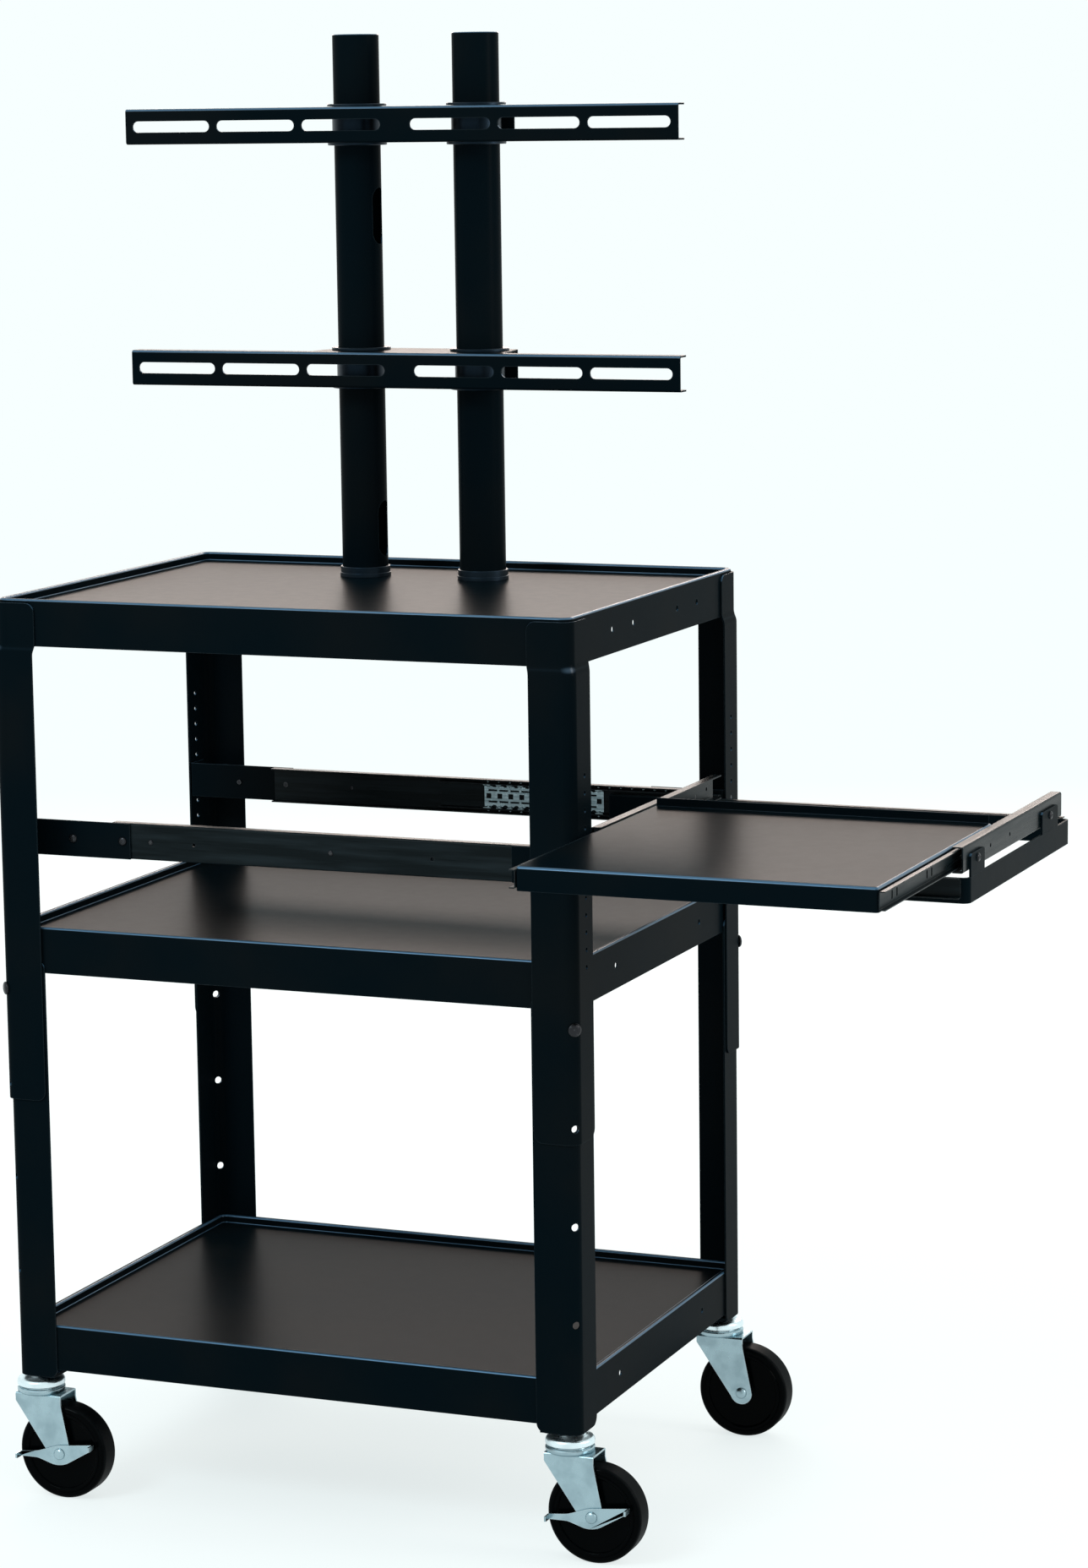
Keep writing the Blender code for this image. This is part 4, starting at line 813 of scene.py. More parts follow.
@dataclass(frozen=True)
class WheelRubber:
    """Glossy hard wheel, scuffed and dusty on its tread, about one axle."""

    name: str
    axle: Point
    shade: Colour = (0.0004, 0.0008, 0.0010)
    dust: Colour = (0.0035, 0.0045, 0.0050)
    specular: float = 0.02

    def material(self) -> bpy.types.Material:
        """Build the material."""
        sheet = NodeSheet(self.name)
        flat = sheet.stretched((1.0, 0.0, 1.0), self.axle)
        length = sheet.tree.nodes.new("ShaderNodeVectorMath")
        length.operation = "LENGTH"
        sheet.feed(length.inputs[0], flat)
        radius = length.outputs["Value"]
        tread = sheet.ramp(radius, WHEEL_RADIUS - 0.0022, WHEEL_RADIUS - 0.0002)
        cloud = sheet.noise(60.0, 4.0)
        scuffs = sheet.noise(500.0, 4.0, sheet.stretched((1.0, 0.25, 1.0)), 0.65)
        dusty = sheet.times(tread, sheet.ramp(cloud, 0.35, 0.65, 0.35, 1.0))
        colour = sheet.blend(dusty, self.shade, self.dust)
        rough = sheet.plus(sheet.ramp(cloud, 0.3, 0.7, 0.08, 0.15), sheet.times(tread, 0.32))
        worn = sheet.times(scuffs, sheet.ramp(tread, 0.0, 1.0, 0.08, 1.0))
        sheet.relief((cloud, 0.00012), (worn, 0.00012))
        return sheet.dress(Base_Color=colour, Roughness=rough, Specular_IOR_Level=self.specular)


class Finishes:
    """The cart's materials, each made once."""

    def __init__(self) -> None:
        """Build every finish that more than one piece shares."""
        race_colours = (0.78, 0.90, 0.94), (0.56, 0.66, 0.70)
        along = SlideSteel("black_slide_steel_along", (0.06, 1.0, 1.0))
        across = SlideSteel("black_slide_steel_across", (1.0, 0.06, 1.0))
        self.coat = Finish(PowderCoat().material(), Slot.COAT)
        self.side_steel = Finish(along.material(), Slot.SLIDE)
        self.tray_steel = Finish(across.material(), Slot.SLIDE)
        self.retainer = Finish(PressedSteel().material(), Slot.RETAINER)
        self.zinc = Finish(ZincPlate("bright_zinc_plate").material(), Slot.ZINC)
        self.race_zinc = Finish(ZincPlate("polished_zinc_plate", *race_colours).material(), Slot.ZINC)
        self.bolt = Finish(BlackOxide().material(), Slot.BOLT)
        self.plastic = Finish(MouldedPlastic().material(), Slot.PLASTIC)


@dataclass
class Shelf:
    """Deck with a raised folded lip and a deep skirt, bent from one sheet."""

    name: str
    rim: float
    body: str
    hole_spacings: tuple[float, ...]
    sheet: float = 0.0015
    corner: float = 0.012
    lip_width: float = 0.0065
    fold: float = 0.0028
    deck_fold: float = 0.0012
    hole_radius: float = 0.00325
    hole_drop: float = 0.0245

    def build(self, finishes: Finishes) -> None:
        """Model the shelf and put it in place."""
        rim, deck = self.rim, self.rim - LIP_HEIGHT
        low = (-HALF_LENGTH, 0, rim - SHELF_SKIRT)
        work = Workpiece.block(self.name + "_sheet", low, (HALF_LENGTH, SHELF_DEPTH, rim))
        work.remove_faces(lambda centre, normal: normal.z < -FACING)
        work.round_edges(lambda a, b: abs(a.z - b.z) > TINY, self.corner, 10)
        work.sink(lambda centre, normal: normal.z > FACING, self.lip_width, (0, 0, -LIP_HEIGHT))
        work.round_edges(lambda a, b: min(a.z, b.z) > rim - TINY and not self.crosses_lip(a, b), self.fold, 5)
        work.round_edges(lambda a, b: max(abs(a.z - deck), abs(b.z - deck)) < TINY, self.deck_fold, 3)
        work.thicken(self.sheet).soften(THIN_EDGE).cut(*self.skirt_holes()).smooth()
        work.settle(finishes.coat, self.body, self.name)

    @staticmethod
    def depth_in(place: Vector) -> float:
        """How far a point lies in from the nearest skirt plane."""
        return min(HALF_LENGTH - abs(place.x), HALF_DEPTH - abs(place.y - HALF_DEPTH))

    def crosses_lip(self, first: Vector, second: Vector) -> bool:
        """Whether an edge runs across the lip's flat top."""
        return (first - second).length > self.lip_width * 0.9 and abs(
            self.depth_in(first) - self.depth_in(second)) > self.lip_width * 0.25

    def skirt_holes(self) -> list[Workpiece]:
        """Tools that drill the holes in the left and right skirts."""
        tools = []
        z = self.rim - self.hole_drop
        for spacing in self.hole_spacings:
            for side in (-1, 1):
                y = HALF_DEPTH + side * spacing / 2
                reach = HALF_LENGTH + OVERRUN
                tools.append(Workpiece.drill((-reach, y, z), (reach, y, z), self.hole_radius, MEDIUM_ROUND))
        return tools


@dataclass
class CornerPart:
    """What stands at one corner of the cart."""

    side: Side
    row: Row

    @property
    def corner(self) -> str:
        """Name of the corner."""
        return self.row.word + "_" + self.side.word


@dataclass
class CornerAngle(CornerPart):
    """One corner's two steel angles, the lower sliding inside the upper, and the bolt that sets them."""

    flange: float = 0.0475
    end_radius: float = 0.010
    upper_span: Flat = (0.435, 0.961)
    lower_span: Flat = (0.1334, 0.585)
    joggle_span: Flat = (0.907, 0.920)
    joggle_steps: int = 8
    row_top: float = 0.8056
    row_pitch: float = 0.0176
    row_count: int = 12
    row_inset: float = 0.030
    row_hole: float = 0.0025
    corner_hole: float = 0.004
    foot_reach: float = 0.044
    foot_chamfer: float = 0.014
    foot_sheet: float = 0.003
    head_radius: float = 0.0070
    head_rim: float = 0.0009
    head_dome: float = 0.0024
    shank: float = 0.0023

    def point(self, u: float, v: float, z: float, shift: float = 0.0) -> Point:
        """Point of the angle: u and v run inwards from its two outer faces."""
        x = self.side.value * (HALF_LENGTH + LEG_PLANE + shift - u)
        y = HALF_DEPTH + self.row.value * (HALF_DEPTH + LEG_PLANE + shift - v)
        return (x, y, z)

    def angle(self, name: str, span: Flat) -> Workpiece:
        """Open shell of an angle: two flanges, a rounded corner and rounded free ends.

        Args:
            name: Name of the piece.
            span: Its lowest and highest height.

        Returns:
            The shell, with no thickness yet.
        """
        side, row = self.side.value, self.row.value
        work = Workpiece.block(name, self.point(0, 0, span[0]), self.point(self.flange, self.flange, span[1]))
        work.remove_faces(lambda c, n: abs(n.z) > FACING or n.x * side < -FACING or n.y * row < -FACING)
        x, y, _ = self.point(0, 0, 0)
        work.round_edges(lambda a, b: abs(a.z - b.z) > TINY and abs(a.x - x) + abs(a.y - y) < TINY,
                         LEG_CORNER, 10)
        end_x, end_y, _ = self.point(self.flange, self.flange, 0)
        work.round_points(lambda p: abs(p.x - end_x) < TINY or abs(p.y - end_y) < TINY, self.end_radius)
        return work

    def corner_drill(self, z: float, shift: float) -> Workpiece:
        """Tool that drills through the rounded corner at a height."""
        centre = Vector(self.point(LEG_CORNER, LEG_CORNER, z, shift))
        out = Vector((self.side.value, self.row.value, 0)).normalized()
        start = centre + out * (LEG_CORNER - LEG_SHEET - OVERRUN)
        return Workpiece.drill(start, centre + out * (LEG_CORNER + OVERRUN), self.corner_hole, MEDIUM_ROUND)

    def build(self, finishes: Finishes) -> None:
        """Model both angles and the bolt of this corner."""
        self.upper(finishes)
        self.lower(finishes)
        self.bolt(finishes)

    def upper(self, finishes: Finishes) -> None:
        """Upper angle: its length stands out past a joggle under the top skirt."""
        work = self.angle("upper_angle_" + self.corner, self.upper_span)
        low, high = self.joggle_span
        levels = [low + (high - low) * step / self.joggle_steps for step in range(self.joggle_steps + 1)]
        work.slice(levels, Axis.Z)
        for step, level in enumerate(levels[:-1]):
            time = step / self.joggle_steps
            share = 1 - time * time * (3 - 2 * time)
            reach = LEG_STEP * share
            move = (self.side.value * reach, self.row.value * reach, 0)
            if step == 0:
                work.shift(lambda p, z=level: p.z < z + TINY, move)
            else:
                work.shift(lambda p, z=level: abs(p.z - z) < TINY, move)
        work.thicken(LEG_SHEET).soften(SHEET_EDGE)
        tools = [self.corner_drill(BOLT_Z - index * HEIGHT_PITCH, LEG_STEP) for index in range(2)]
        for index in range(self.row_count):
            z = self.row_top - index * self.row_pitch
            start = self.point(-OVERRUN, self.row_inset, z, LEG_STEP)
            end = self.point(LEG_SHEET + OVERRUN, self.row_inset, z, LEG_STEP)
            tools.append(Workpiece.drill(start, end, self.row_hole))
        work.cut(*tools).smooth()
        work.settle(finishes.coat, "upper_frame", "upper_leg_" + self.corner)

    def lower(self, finishes: Finishes) -> None:
        """Lower angle, closed at its foot by the caster's plate."""
        work = self.angle("lower_angle_" + self.corner, self.lower_span)
        work.thicken(LEG_SHEET).soften(SHEET_EDGE)
        work.cut(*[self.corner_drill(BOLT_Z - index * HEIGHT_PITCH, 0.0) for index in range(4)])
        half, reach, chamfer = LEG_SHEET / 2, self.foot_reach, self.foot_chamfer
        outline = [(reach, half)] + arc((LEG_CORNER, LEG_CORNER), LEG_CORNER - half, 270, 180, 8)
        outline += [(half, reach), (reach - chamfer, reach), (reach, reach - chamfer)]
        placed = [self.point(u, v, 0)[:2] for u, v in outline]
        low = self.lower_span[0]
        foot = Workpiece.plate("foot", placed, Axis.Z, low, low + self.foot_sheet)
        work.join(foot).smooth()
        work.settle(finishes.coat, "base", "lower_leg_" + self.corner)

    def bolt(self, finishes: Finishes) -> None:
        """Low domed bolt through the rounded corner."""
        out = Vector((self.side.value, self.row.value, 0)).normalized()
        seat = Vector(self.point(LEG_CORNER, LEG_CORNER, BOLT_Z, LEG_STEP)) + out * (LEG_CORNER + GAP)
        wide, rim = self.head_radius, self.head_rim
        head = [(wide / 2, -self.shank), (wide / 2, 0.0), (wide - 0.0002, 0.0), (wide, 0.0004),
                (wide - 0.0001, rim)]
        head += [(wide * math.cos(angle), rim + self.head_dome * math.sin(angle))
                 for angle in (math.radians(step * 15) for step in range(1, 6))]
        work = Workpiece.turned("corner_bolt_" + self.corner, head, seat, out, MEDIUM_ROUND)
        work.smooth(CURVE_ANGLE).settle(finishes.bolt, "upper_frame", "height_bolt_" + self.corner)


@dataclass
class ScreenPole:
    """Round steel pole on the top deck, with its stepped ring."""

    side: Side
    height: float = 0.583
    edge: float = 0.0012
    wall: float = 0.0015
    ring_walls: Flat = (0.0005, 0.0027)
    slot_centres: Flat = (0.0525, 0.390)
    slot_size: Flat = (0.061, 0.024)

    def build(self, finishes: Finishes) -> None:
        """Model the pole and its ring."""
        name = self.side.word
        x = self.side.value * POLE_HALF_SPACING
        foot = (x, POLE_Y, TOP_DECK)
        edge = self.edge
        profile = [(POLE_RADIUS, GAP), (POLE_RADIUS, self.height - edge)]
        profile += arc((POLE_RADIUS - edge, self.height - edge), edge, 15, 90, 5)
        profile += [(POLE_RADIUS - 0.0022, self.height), (POLE_RADIUS - 0.0024, self.height - 0.0003)]
        work = Workpiece.turned("screen_pole_" + name, profile, foot, UP, FINE_ROUND, start_cap=False)
        work.thicken(self.wall)
        if self.side is Side.LEFT:
            work.cut(*self.cable_slots(x))
        work.smooth(CURVE_ANGLE).settle(finishes.coat, "upper_frame", "pole_" + name)
        inside, outside = (POLE_RADIUS + reach for reach in self.ring_walls)
        ring = [(inside, GAP), (outside, GAP)] + arc((outside - 0.0006, 0.0040), 0.0006, 0, 90, 3)
        ring += [(outside - 0.0006, 0.0052)] + arc((outside - 0.0014, 0.0105), 0.0008, 0, 90, 3)
        ring += [(inside, 0.0113), (inside, GAP)]
        work = Workpiece.turned("pole_foot_ring_" + name, ring, foot, UP, FINE_ROUND, False, False)
        work.smooth().settle(finishes.plastic, "upper_frame", "pole_base_ring_" + name)

    def cable_slots(self, x: float) -> list[Workpiece]:
        """Tools that cut the upright cable openings in the pole's right side."""
        tools = []
        for centre in self.slot_centres:
            upright = obround((TOP_DECK + centre, POLE_Y), *self.slot_size)
            outline = [(y, z) for z, y in upright]
            tools.append(Workpiece.plate("slot", outline, Axis.X, x, x + POLE_RADIUS + OVERRUN))
        return tools


@dataclass
class ScreenBracket:
    """Slotted channel that slides on both poles, and its bushings."""

    level: str
    height: float
    length: float = 0.640
    tall: float = 0.038
    front: float = 0.318
    flange: float = 0.0185
    rear: float = 0.405
    sheet: float = 0.002
    lug_half: float = 0.1017
    lug_inner: float = 0.0377
    flare: float = 0.011
    fold: float = 0.0032
    bushing_rim: float = 0.0027
    pole_hole: float = 0.0273
    slot_size: Flat = (0.0925, 0.012)
    slot_start: float = 0.06325
    slot_pitch: float = 0.101
    slots: int = 3

    def build(self, finishes: Finishes) -> None:
        """Model the bracket and its bushings."""
        z = TOP_DECK + self.height
        half, back, rear = self.length / 2, self.front + self.flange, self.rear
        low, high = z - self.tall / 2, z + self.tall / 2
        work = Workpiece.block("slotted_bracket_" + self.level, (-half, self.front, low), (half, back, high))
        work.remove_faces(lambda c, n: n.y > FACING or abs(n.x) > FACING)
        work.round_edges(lambda a, b: max(a.y, b.y) < self.front + TINY and abs(a.x - b.x) > half,
                         self.fold, 6)
        outer = self.lug_half + self.flare
        work.slice((-outer, -self.lug_inner, self.lug_inner, outer), Axis.X)
        inside = outer + TINY
        work.pull_edges(lambda a, b: min(a.y, b.y) > back - TINY and max(abs(a.x), abs(b.x)) < inside
                        and abs(a.x - b.x) > TINY, (0, rear - back, 0))
        for side in (-1, 1):
            work.shift(lambda p, s=side: p.y > rear - TINY and abs(p.x - s * outer) < TINY,
                       (-side * self.flare, 0, 0))
        for side in (-1, 1):
            work.bridge(lambda a, b, s=side: min(a.y, b.y) > rear - TINY and abs(a.z - b.z) < TINY
                        and min(a.x * s, b.x * s) > self.lug_inner - TINY)
        work.thicken(self.sheet).soften(SHEET_EDGE).cut(*self.openings(z)).smooth()
        body = "bracket_" + self.level
        work.settle(finishes.coat, body, "screen_bracket_" + self.level)
        inner = POLE_RADIUS + 2 * GAP
        flange, neck = inner + 0.0063, inner + 0.0011
        seat = self.tall / 2 + GAP
        end = seat + self.bushing_rim
        ease = 0.0006
        profile = [(inner, -end), (flange - ease, -end), (flange, -end + ease), (flange, -seat),
                   (neck, -seat), (neck, seat), (flange, seat), (flange, end - ease), (flange - ease, end),
                   (inner, end), (inner, -end)]
        for side in Side:
            centre = (side.value * POLE_HALF_SPACING, POLE_Y, z)
            name = self.level + "_" + side.word
            bushing = Workpiece.turned("pole_bushing_" + name, profile, centre, UP, LARGE_ROUND, False, False)
            bushing.smooth().settle(finishes.plastic, body, "bracket_bushing_" + name)

    def openings(self, z: float) -> list[Workpiece]:
        """Tools that cut the slots of the front face and the pole holes of the flanges."""
        tools = []
        for side in (-1, 1):
            for index in range(self.slots):
                x = side * (self.slot_start + index * self.slot_pitch)
                outline = obround((x, z), *self.slot_size)
                tools.append(Workpiece.plate("slot", outline, Axis.Y, self.front - OVERRUN,
                                             self.front + 2 * OVERRUN))
            pole = side * POLE_HALF_SPACING
            low, high = z - self.tall / 2 - OVERRUN, z + self.tall / 2 + OVERRUN
            tools.append(Workpiece.drill((pole, POLE_Y, low), (pole, POLE_Y, high), self.pole_hole,
                                         LARGE_ROUND))
        return tools


@dataclass(frozen=True)
class Rail:
    """Rolled channel of a ball slide, with its flanges towards one side."""

    name: str
    axis: Axis
    start: float
    length: float
    web: float
    towards: int
    flange: float
    height: float
    middle: float
    sheet: float
    fold: float = 0.0022

    def model(self) -> Workpiece:
        """Bend the channel's shell and give it its thickness."""
        end, tip = self.start + self.length, self.web + self.towards * self.flange
        low, high = self.middle - self.height / 2, self.middle + self.height / 2
        across = 1 - self.axis.value
        ends = [[0.0, 0.0, low], [0.0, 0.0, high]]
        ends[0][self.axis.value], ends[1][self.axis.value] = self.start, end
        ends[0][across], ends[1][across] = self.web, tip
        work = Workpiece.block(self.name, ends[0], ends[1])
        along = self.axis.value
        work.remove_faces(lambda c, n: abs(n[along]) > FACING or n[across] * self.towards > FACING)
        work.round_edges(lambda a, b: abs(a[across] - self.web) < TINY and abs(b[across] - self.web) < TINY
                         and abs(a[along] - b[along]) > TINY, self.fold, 5)
        return work.thicken(self.sheet)


@dataclass
class Screw:
    """Small pan-head screw with a cross recess."""

    head: float = 0.0042
    rise: float = 0.0022
    shank: float = 0.0019
    rim_share: float = 0.3
    recess_arm: float = 0.5
    recess_width: float = 0.12
    recess_floor: float = 0.45

    def model(self, name: str, seat: Sequence[float], out: Sequence[float], depth: float) -> Workpiece:
        """Model one screw.

        Args:
            name: Name of the piece.
            seat: Middle of the face that the head stands on.
            out: Direction in which the head points.
            depth: Length of the shank below the head.

        Returns:
            The new workpiece.
        """
        rim = self.rim_share
        profile = [(self.shank, -depth), (self.shank, 0.0), (self.head, 0.0), (self.head, self.rise * rim)]
        profile += [(self.head * math.cos(angle), self.rise * (rim + (1 - rim) * math.sin(angle)))
                    for angle in (math.radians(step * 18) for step in range(1, 5))]
        work = Workpiece.turned(name, profile, (0, 0, 0), UP, SCREW_ROUND)
        arm, wide = self.head * self.recess_arm, self.head * self.recess_width
        deep, top = self.rise * self.recess_floor, self.rise + OVERRUN
        for size in ((arm, wide), (wide, arm)):
            work.cut(Workpiece.block("recess", (-size[0], -size[1], deep), (size[0], size[1], top)))
        work.smooth(CURVE_ANGLE)
        turn = Vector(out).to_track_quat("Z", "Y").to_matrix().to_4x4()
        work.item.data.transform(Matrix.Translation(Vector(seat)) @ turn)
        return work

    def drive(self, name: str, seats: Sequence[Sequence[float]], out: Sequence[float], depth: float,
              finish: Finish, body: str) -> None:
        """Model one numbered screw at each seat, and fix them to a body."""
        for number, seat in enumerate(seats, 1):
            self.model(name + "_" + str(number), seat, out, depth).settle(finish, body)


@dataclass
class SideSlides:
    """Three nested ball slide members at the front or the back, with what holds them."""

    row: Row
    flanges: Point = (0.0112, 0.0086, 0.0085)
    retainer_flange: float = 0.0045
    retainer_start: float = 0.0431
    retainer_length: float = 0.1414
    window: float = 0.0058
    window_pitch: float = 0.0131
    windows: int = 11
    slot_band: Flat = (0.0053, 0.0074)
    slot_ends: Flat = (0.0005, 0.0031)
    notch_radius: float = 0.0034
    notch_depth: float = 0.0052
    ball_depths: Flat = (0.0058, 0.0066)
    outer_balls: int = 19
    web_screws: tuple[float, ...] = (-0.170, 0.0365)
    spare_holes: tuple[Flat, ...] = ((-0.120, 0.002), (0.150, 0.0022))
    bolt_hole: float = 0.0029
    bracket_ends: Flat = (0.193, 0.238)
    bracket_sheet: float = 0.002
    bracket_tab: float = 0.031
    bracket_bend: float = 0.0015
    row_screws: Flat = (0.7176, 0.7000)
    row_inset: float = 0.030
    web_screw: ClassVar[Screw] = Screw(0.0026, 0.0009, 0.0012)
    slide_bolt: ClassVar[Screw] = Screw(0.0045, 0.0026, 0.0025)
    angle_screw: ClassVar[Screw] = Screw(0.0045, 0.0024, 0.0018)
    bolts: ClassVar[dict[Side, tuple[float, ...]]] = {Side.LEFT: (-0.260, -0.2016), Side.RIGHT: (0.262,)}

    def plane(self, depth: float) -> float:
        """Y of a plane in the slide; depth runs inwards from its outer face."""
        return HALF_DEPTH + self.row.value * (HALF_DEPTH - SLIDE_Y - depth)

    def rail(self, name: str, start: float, depth: float, towards: int, flange: float, height: float,
             sheet: float, length: float) -> Workpiece:
        """One channel of the slide, its flanges running further in or back out."""
        side = -self.row.value * towards
        web = self.plane(depth)
        return Rail(name, Axis.X, start, length, web, side, flange, height, SLIDE_Z, sheet).model()

    def build(self, finishes: Finishes) -> None:
        """Model the members, the retainer with its balls, the brackets and the screws."""
        row = self.row.word
        members = (
            ("outer", "upper_frame", OUTER_LEFT, 0, 1, SLIDE_HEIGHT, SLIDE_SHEET, SLIDE_LENGTH),
            ("middle", "side_slides_middle", MIDDLE_LEFT, MIDDLE_DEPTH, 1, MIDDLE_HEIGHT, MEMBER_SHEET,
             MIDDLE_LENGTH),
            ("inner", "carriage", INNER_LEFT, SLIDE_DEPTH, -1, INNER_HEIGHT, MEMBER_SHEET, SLIDE_LENGTH),
        )
        for (name, body, start, depth, towards, height, sheet, length), flange in zip(members, self.flanges):
            work = self.rail(name + "_rail_" + row, start, depth, towards, flange, height, sheet, length)
            work.soften(RAIL_EDGE)
            if name == "outer":
                work.cut(*self.web_drills())
            work.smooth()
            work.settle(finishes.side_steel, body, "side_slide_" + name + "_" + row)
        self.retainer(finishes, row)
        for side in Side:
            self.bracket(finishes, row, side)
        seats = [(x, self.plane(-GAP), SLIDE_Z) for x in self.web_screws]
        out = (0, self.row.value, 0)
        self.web_screw.drive("web_screw_" + row, seats, out, 0.001, finishes.bolt, "upper_frame")

    def web_drills(self) -> list[Workpiece]:
        """Tools that drill the outer member's web for its bolts, and its two spare holes."""
        holes = [(x, self.bolt_hole) for side in Side for x in self.bolts[side]]
        near, far = self.plane(-OVERRUN), self.plane(SLIDE_SHEET + OVERRUN)
        return [Workpiece.drill((x, near, SLIDE_Z), (x, far, SLIDE_Z), radius)
                for x, radius in (*holes, *self.spare_holes)]

    def retainer(self, finishes: Finishes, row: str) -> None:
        """Ball retainer with its windows, and both rows of balls in it."""
        depth = MIDDLE_DEPTH + MEMBER_SHEET + GAP
        height = MIDDLE_HEIGHT - 2 * (MEMBER_SHEET + GAP)
        work = self.rail("ball_retainer_" + row, self.retainer_start, depth, 1, self.retainer_flange, height,
                         RETAINER_SHEET, self.retainer_length)
        half = self.window / 2
        near, far = self.plane(depth - GAP * 2), self.plane(depth + 2 * RETAINER_SHEET)
        tools = []
        for index in range(self.windows):
            x = self.first_window() + index * self.window_pitch
            low = (x - half, near, SLIDE_Z - half)
            tools.append(Workpiece.block("window", low, (x + half, far, SLIDE_Z + half)))
        tools += self.slots_and_notches(depth, height)
        work.cut(*tools).soften(0.00012).smooth()
        work.settle(finishes.retainer, "side_slides_middle", "side_slide_retainer_" + row)
        self.balls(finishes, row)

    def first_window(self) -> float:
        """X of the retainer's leftmost window, which its balls line up with."""
        return self.retainer_start + (self.retainer_length - (self.windows - 1) * self.window_pitch) / 2

    def slots_and_notches(self, depth: float, height: float) -> list[Workpiece]:
        """Tools for the slots that part the ball cups from the web, and the notches between the cups.

        Args:
            depth: Depth of the retainer's web in the slide.
            height: Height of the retainer.

        Returns:
            One slot and one row of notches along each edge.
        """
        tools = []
        low_band, high_band = self.slot_band
        near, far = self.plane(depth - GAP * 2), self.plane(depth + 2 * RETAINER_SHEET)
        through = self.plane(depth + self.notch_depth)
        for up in (-1, 1):
            for index in range(self.windows - 1):
                x = self.first_window() + index * self.window_pitch
                ends = ((x - self.slot_ends[0], near, SLIDE_Z + up * low_band),
                        (x + self.window_pitch - self.slot_ends[1], far, SLIDE_Z + up * high_band))
                tools.append(Workpiece.block("slot", *ends))
                x, z = x + self.window_pitch / 2, SLIDE_Z + up * height / 2
                tools.append(Workpiece.drill((x, near, z), (x, through, z), self.notch_radius))
        return tools

    def balls(self, finishes: Finishes, row: str) -> None:
        """Rows of steel balls between the members."""
        Workpiece.let_go()
        radius = BALL_DIAMETER / 2 - GAP / 2
        outer_z = SLIDE_HEIGHT / 2 - SLIDE_SHEET - BALL_DIAMETER / 2
        inner_z = MIDDLE_HEIGHT / 2 - MEMBER_SHEET - BALL_DIAMETER / 2
        bpy.ops.mesh.primitive_uv_sphere_add(segments=12, ring_count=8, radius=radius)
        first = Workpiece.take("slide_balls_" + row)
        counts = (self.outer_balls, self.windows)
        made = []
        for count, level, depth in zip(counts, (outer_z, inner_z), self.ball_depths):
            for index, up in itertools.product(range(count), (-1, 1)):
                x = self.first_window() + index * self.window_pitch
                made.append(first.copy("ball", (x, self.plane(depth), SLIDE_Z + up * level)))
        Workpiece.let_go()
        for ball in made:
            ball.item.select_set(True)
        bpy.data.objects.remove(first.item, do_unlink=True)
        bpy.context.view_layer.objects.active = made[0].item
        bpy.ops.object.join()
        made[0].item.name = "slide_balls_" + row
        made[0].smooth(60).settle(finishes.retainer, "side_slides_middle")

    def bracket(self, finishes: Finishes, row: str, side: Side) -> None:
        """Angle plate from the corner angle to the outer member, and its screws."""
        wall = HALF_LENGTH + LEG_PLANE + LEG_STEP - LEG_SHEET - GAP
        end = self.bracket_ends[0 if side is Side.LEFT else 1]
        sheet, bend, back = self.bracket_sheet, self.bracket_bend, SLIDE_Y - GAP
        tab, bow = back - self.bracket_tab, sheet + bend
        outline = [(wall, tab), (wall - sheet, tab), (wall - sheet, back - bow)]
        outline += arc((wall - bow, back - bow), bend, 0, 90, 4) + [(end, back - sheet), (end, back)]
        outline += arc((wall - bow, back - bow), bow, 90, 0, 5)
        placed = [(side.value * x, HALF_DEPTH + self.row.value * (HALF_DEPTH - y)) for x, y in outline]
        low, high = SLIDE_Z - SLIDE_HEIGHT / 2, SLIDE_Z + SLIDE_HEIGHT / 2
        name = row + "_" + side.word
        work = Workpiece.plate("slide_angle_" + name, placed, Axis.Z, low, high).soften(THIN_EDGE).smooth()
        work.settle(finishes.coat, "upper_frame", "slide_bracket_" + name)
        seats = [(x, self.plane(-sheet - GAP), SLIDE_Z) for x in self.bolts[side]]
        out = (0, self.row.value, 0)
        self.slide_bolt.drive("slide_bolt_" + name, seats, out, 0.0037, finishes.bolt, "upper_frame")
        y = HALF_DEPTH + self.row.value * (HALF_DEPTH + LEG_PLANE + LEG_STEP - self.row_inset)
        seats = [(side.value * (wall - sheet), y, z) for z in self.row_screws]
        out = (-side.value, 0, 0)
        self.angle_screw.drive("angle_screw_" + name, seats, out, 0.004, finishes.bolt, "upper_frame")


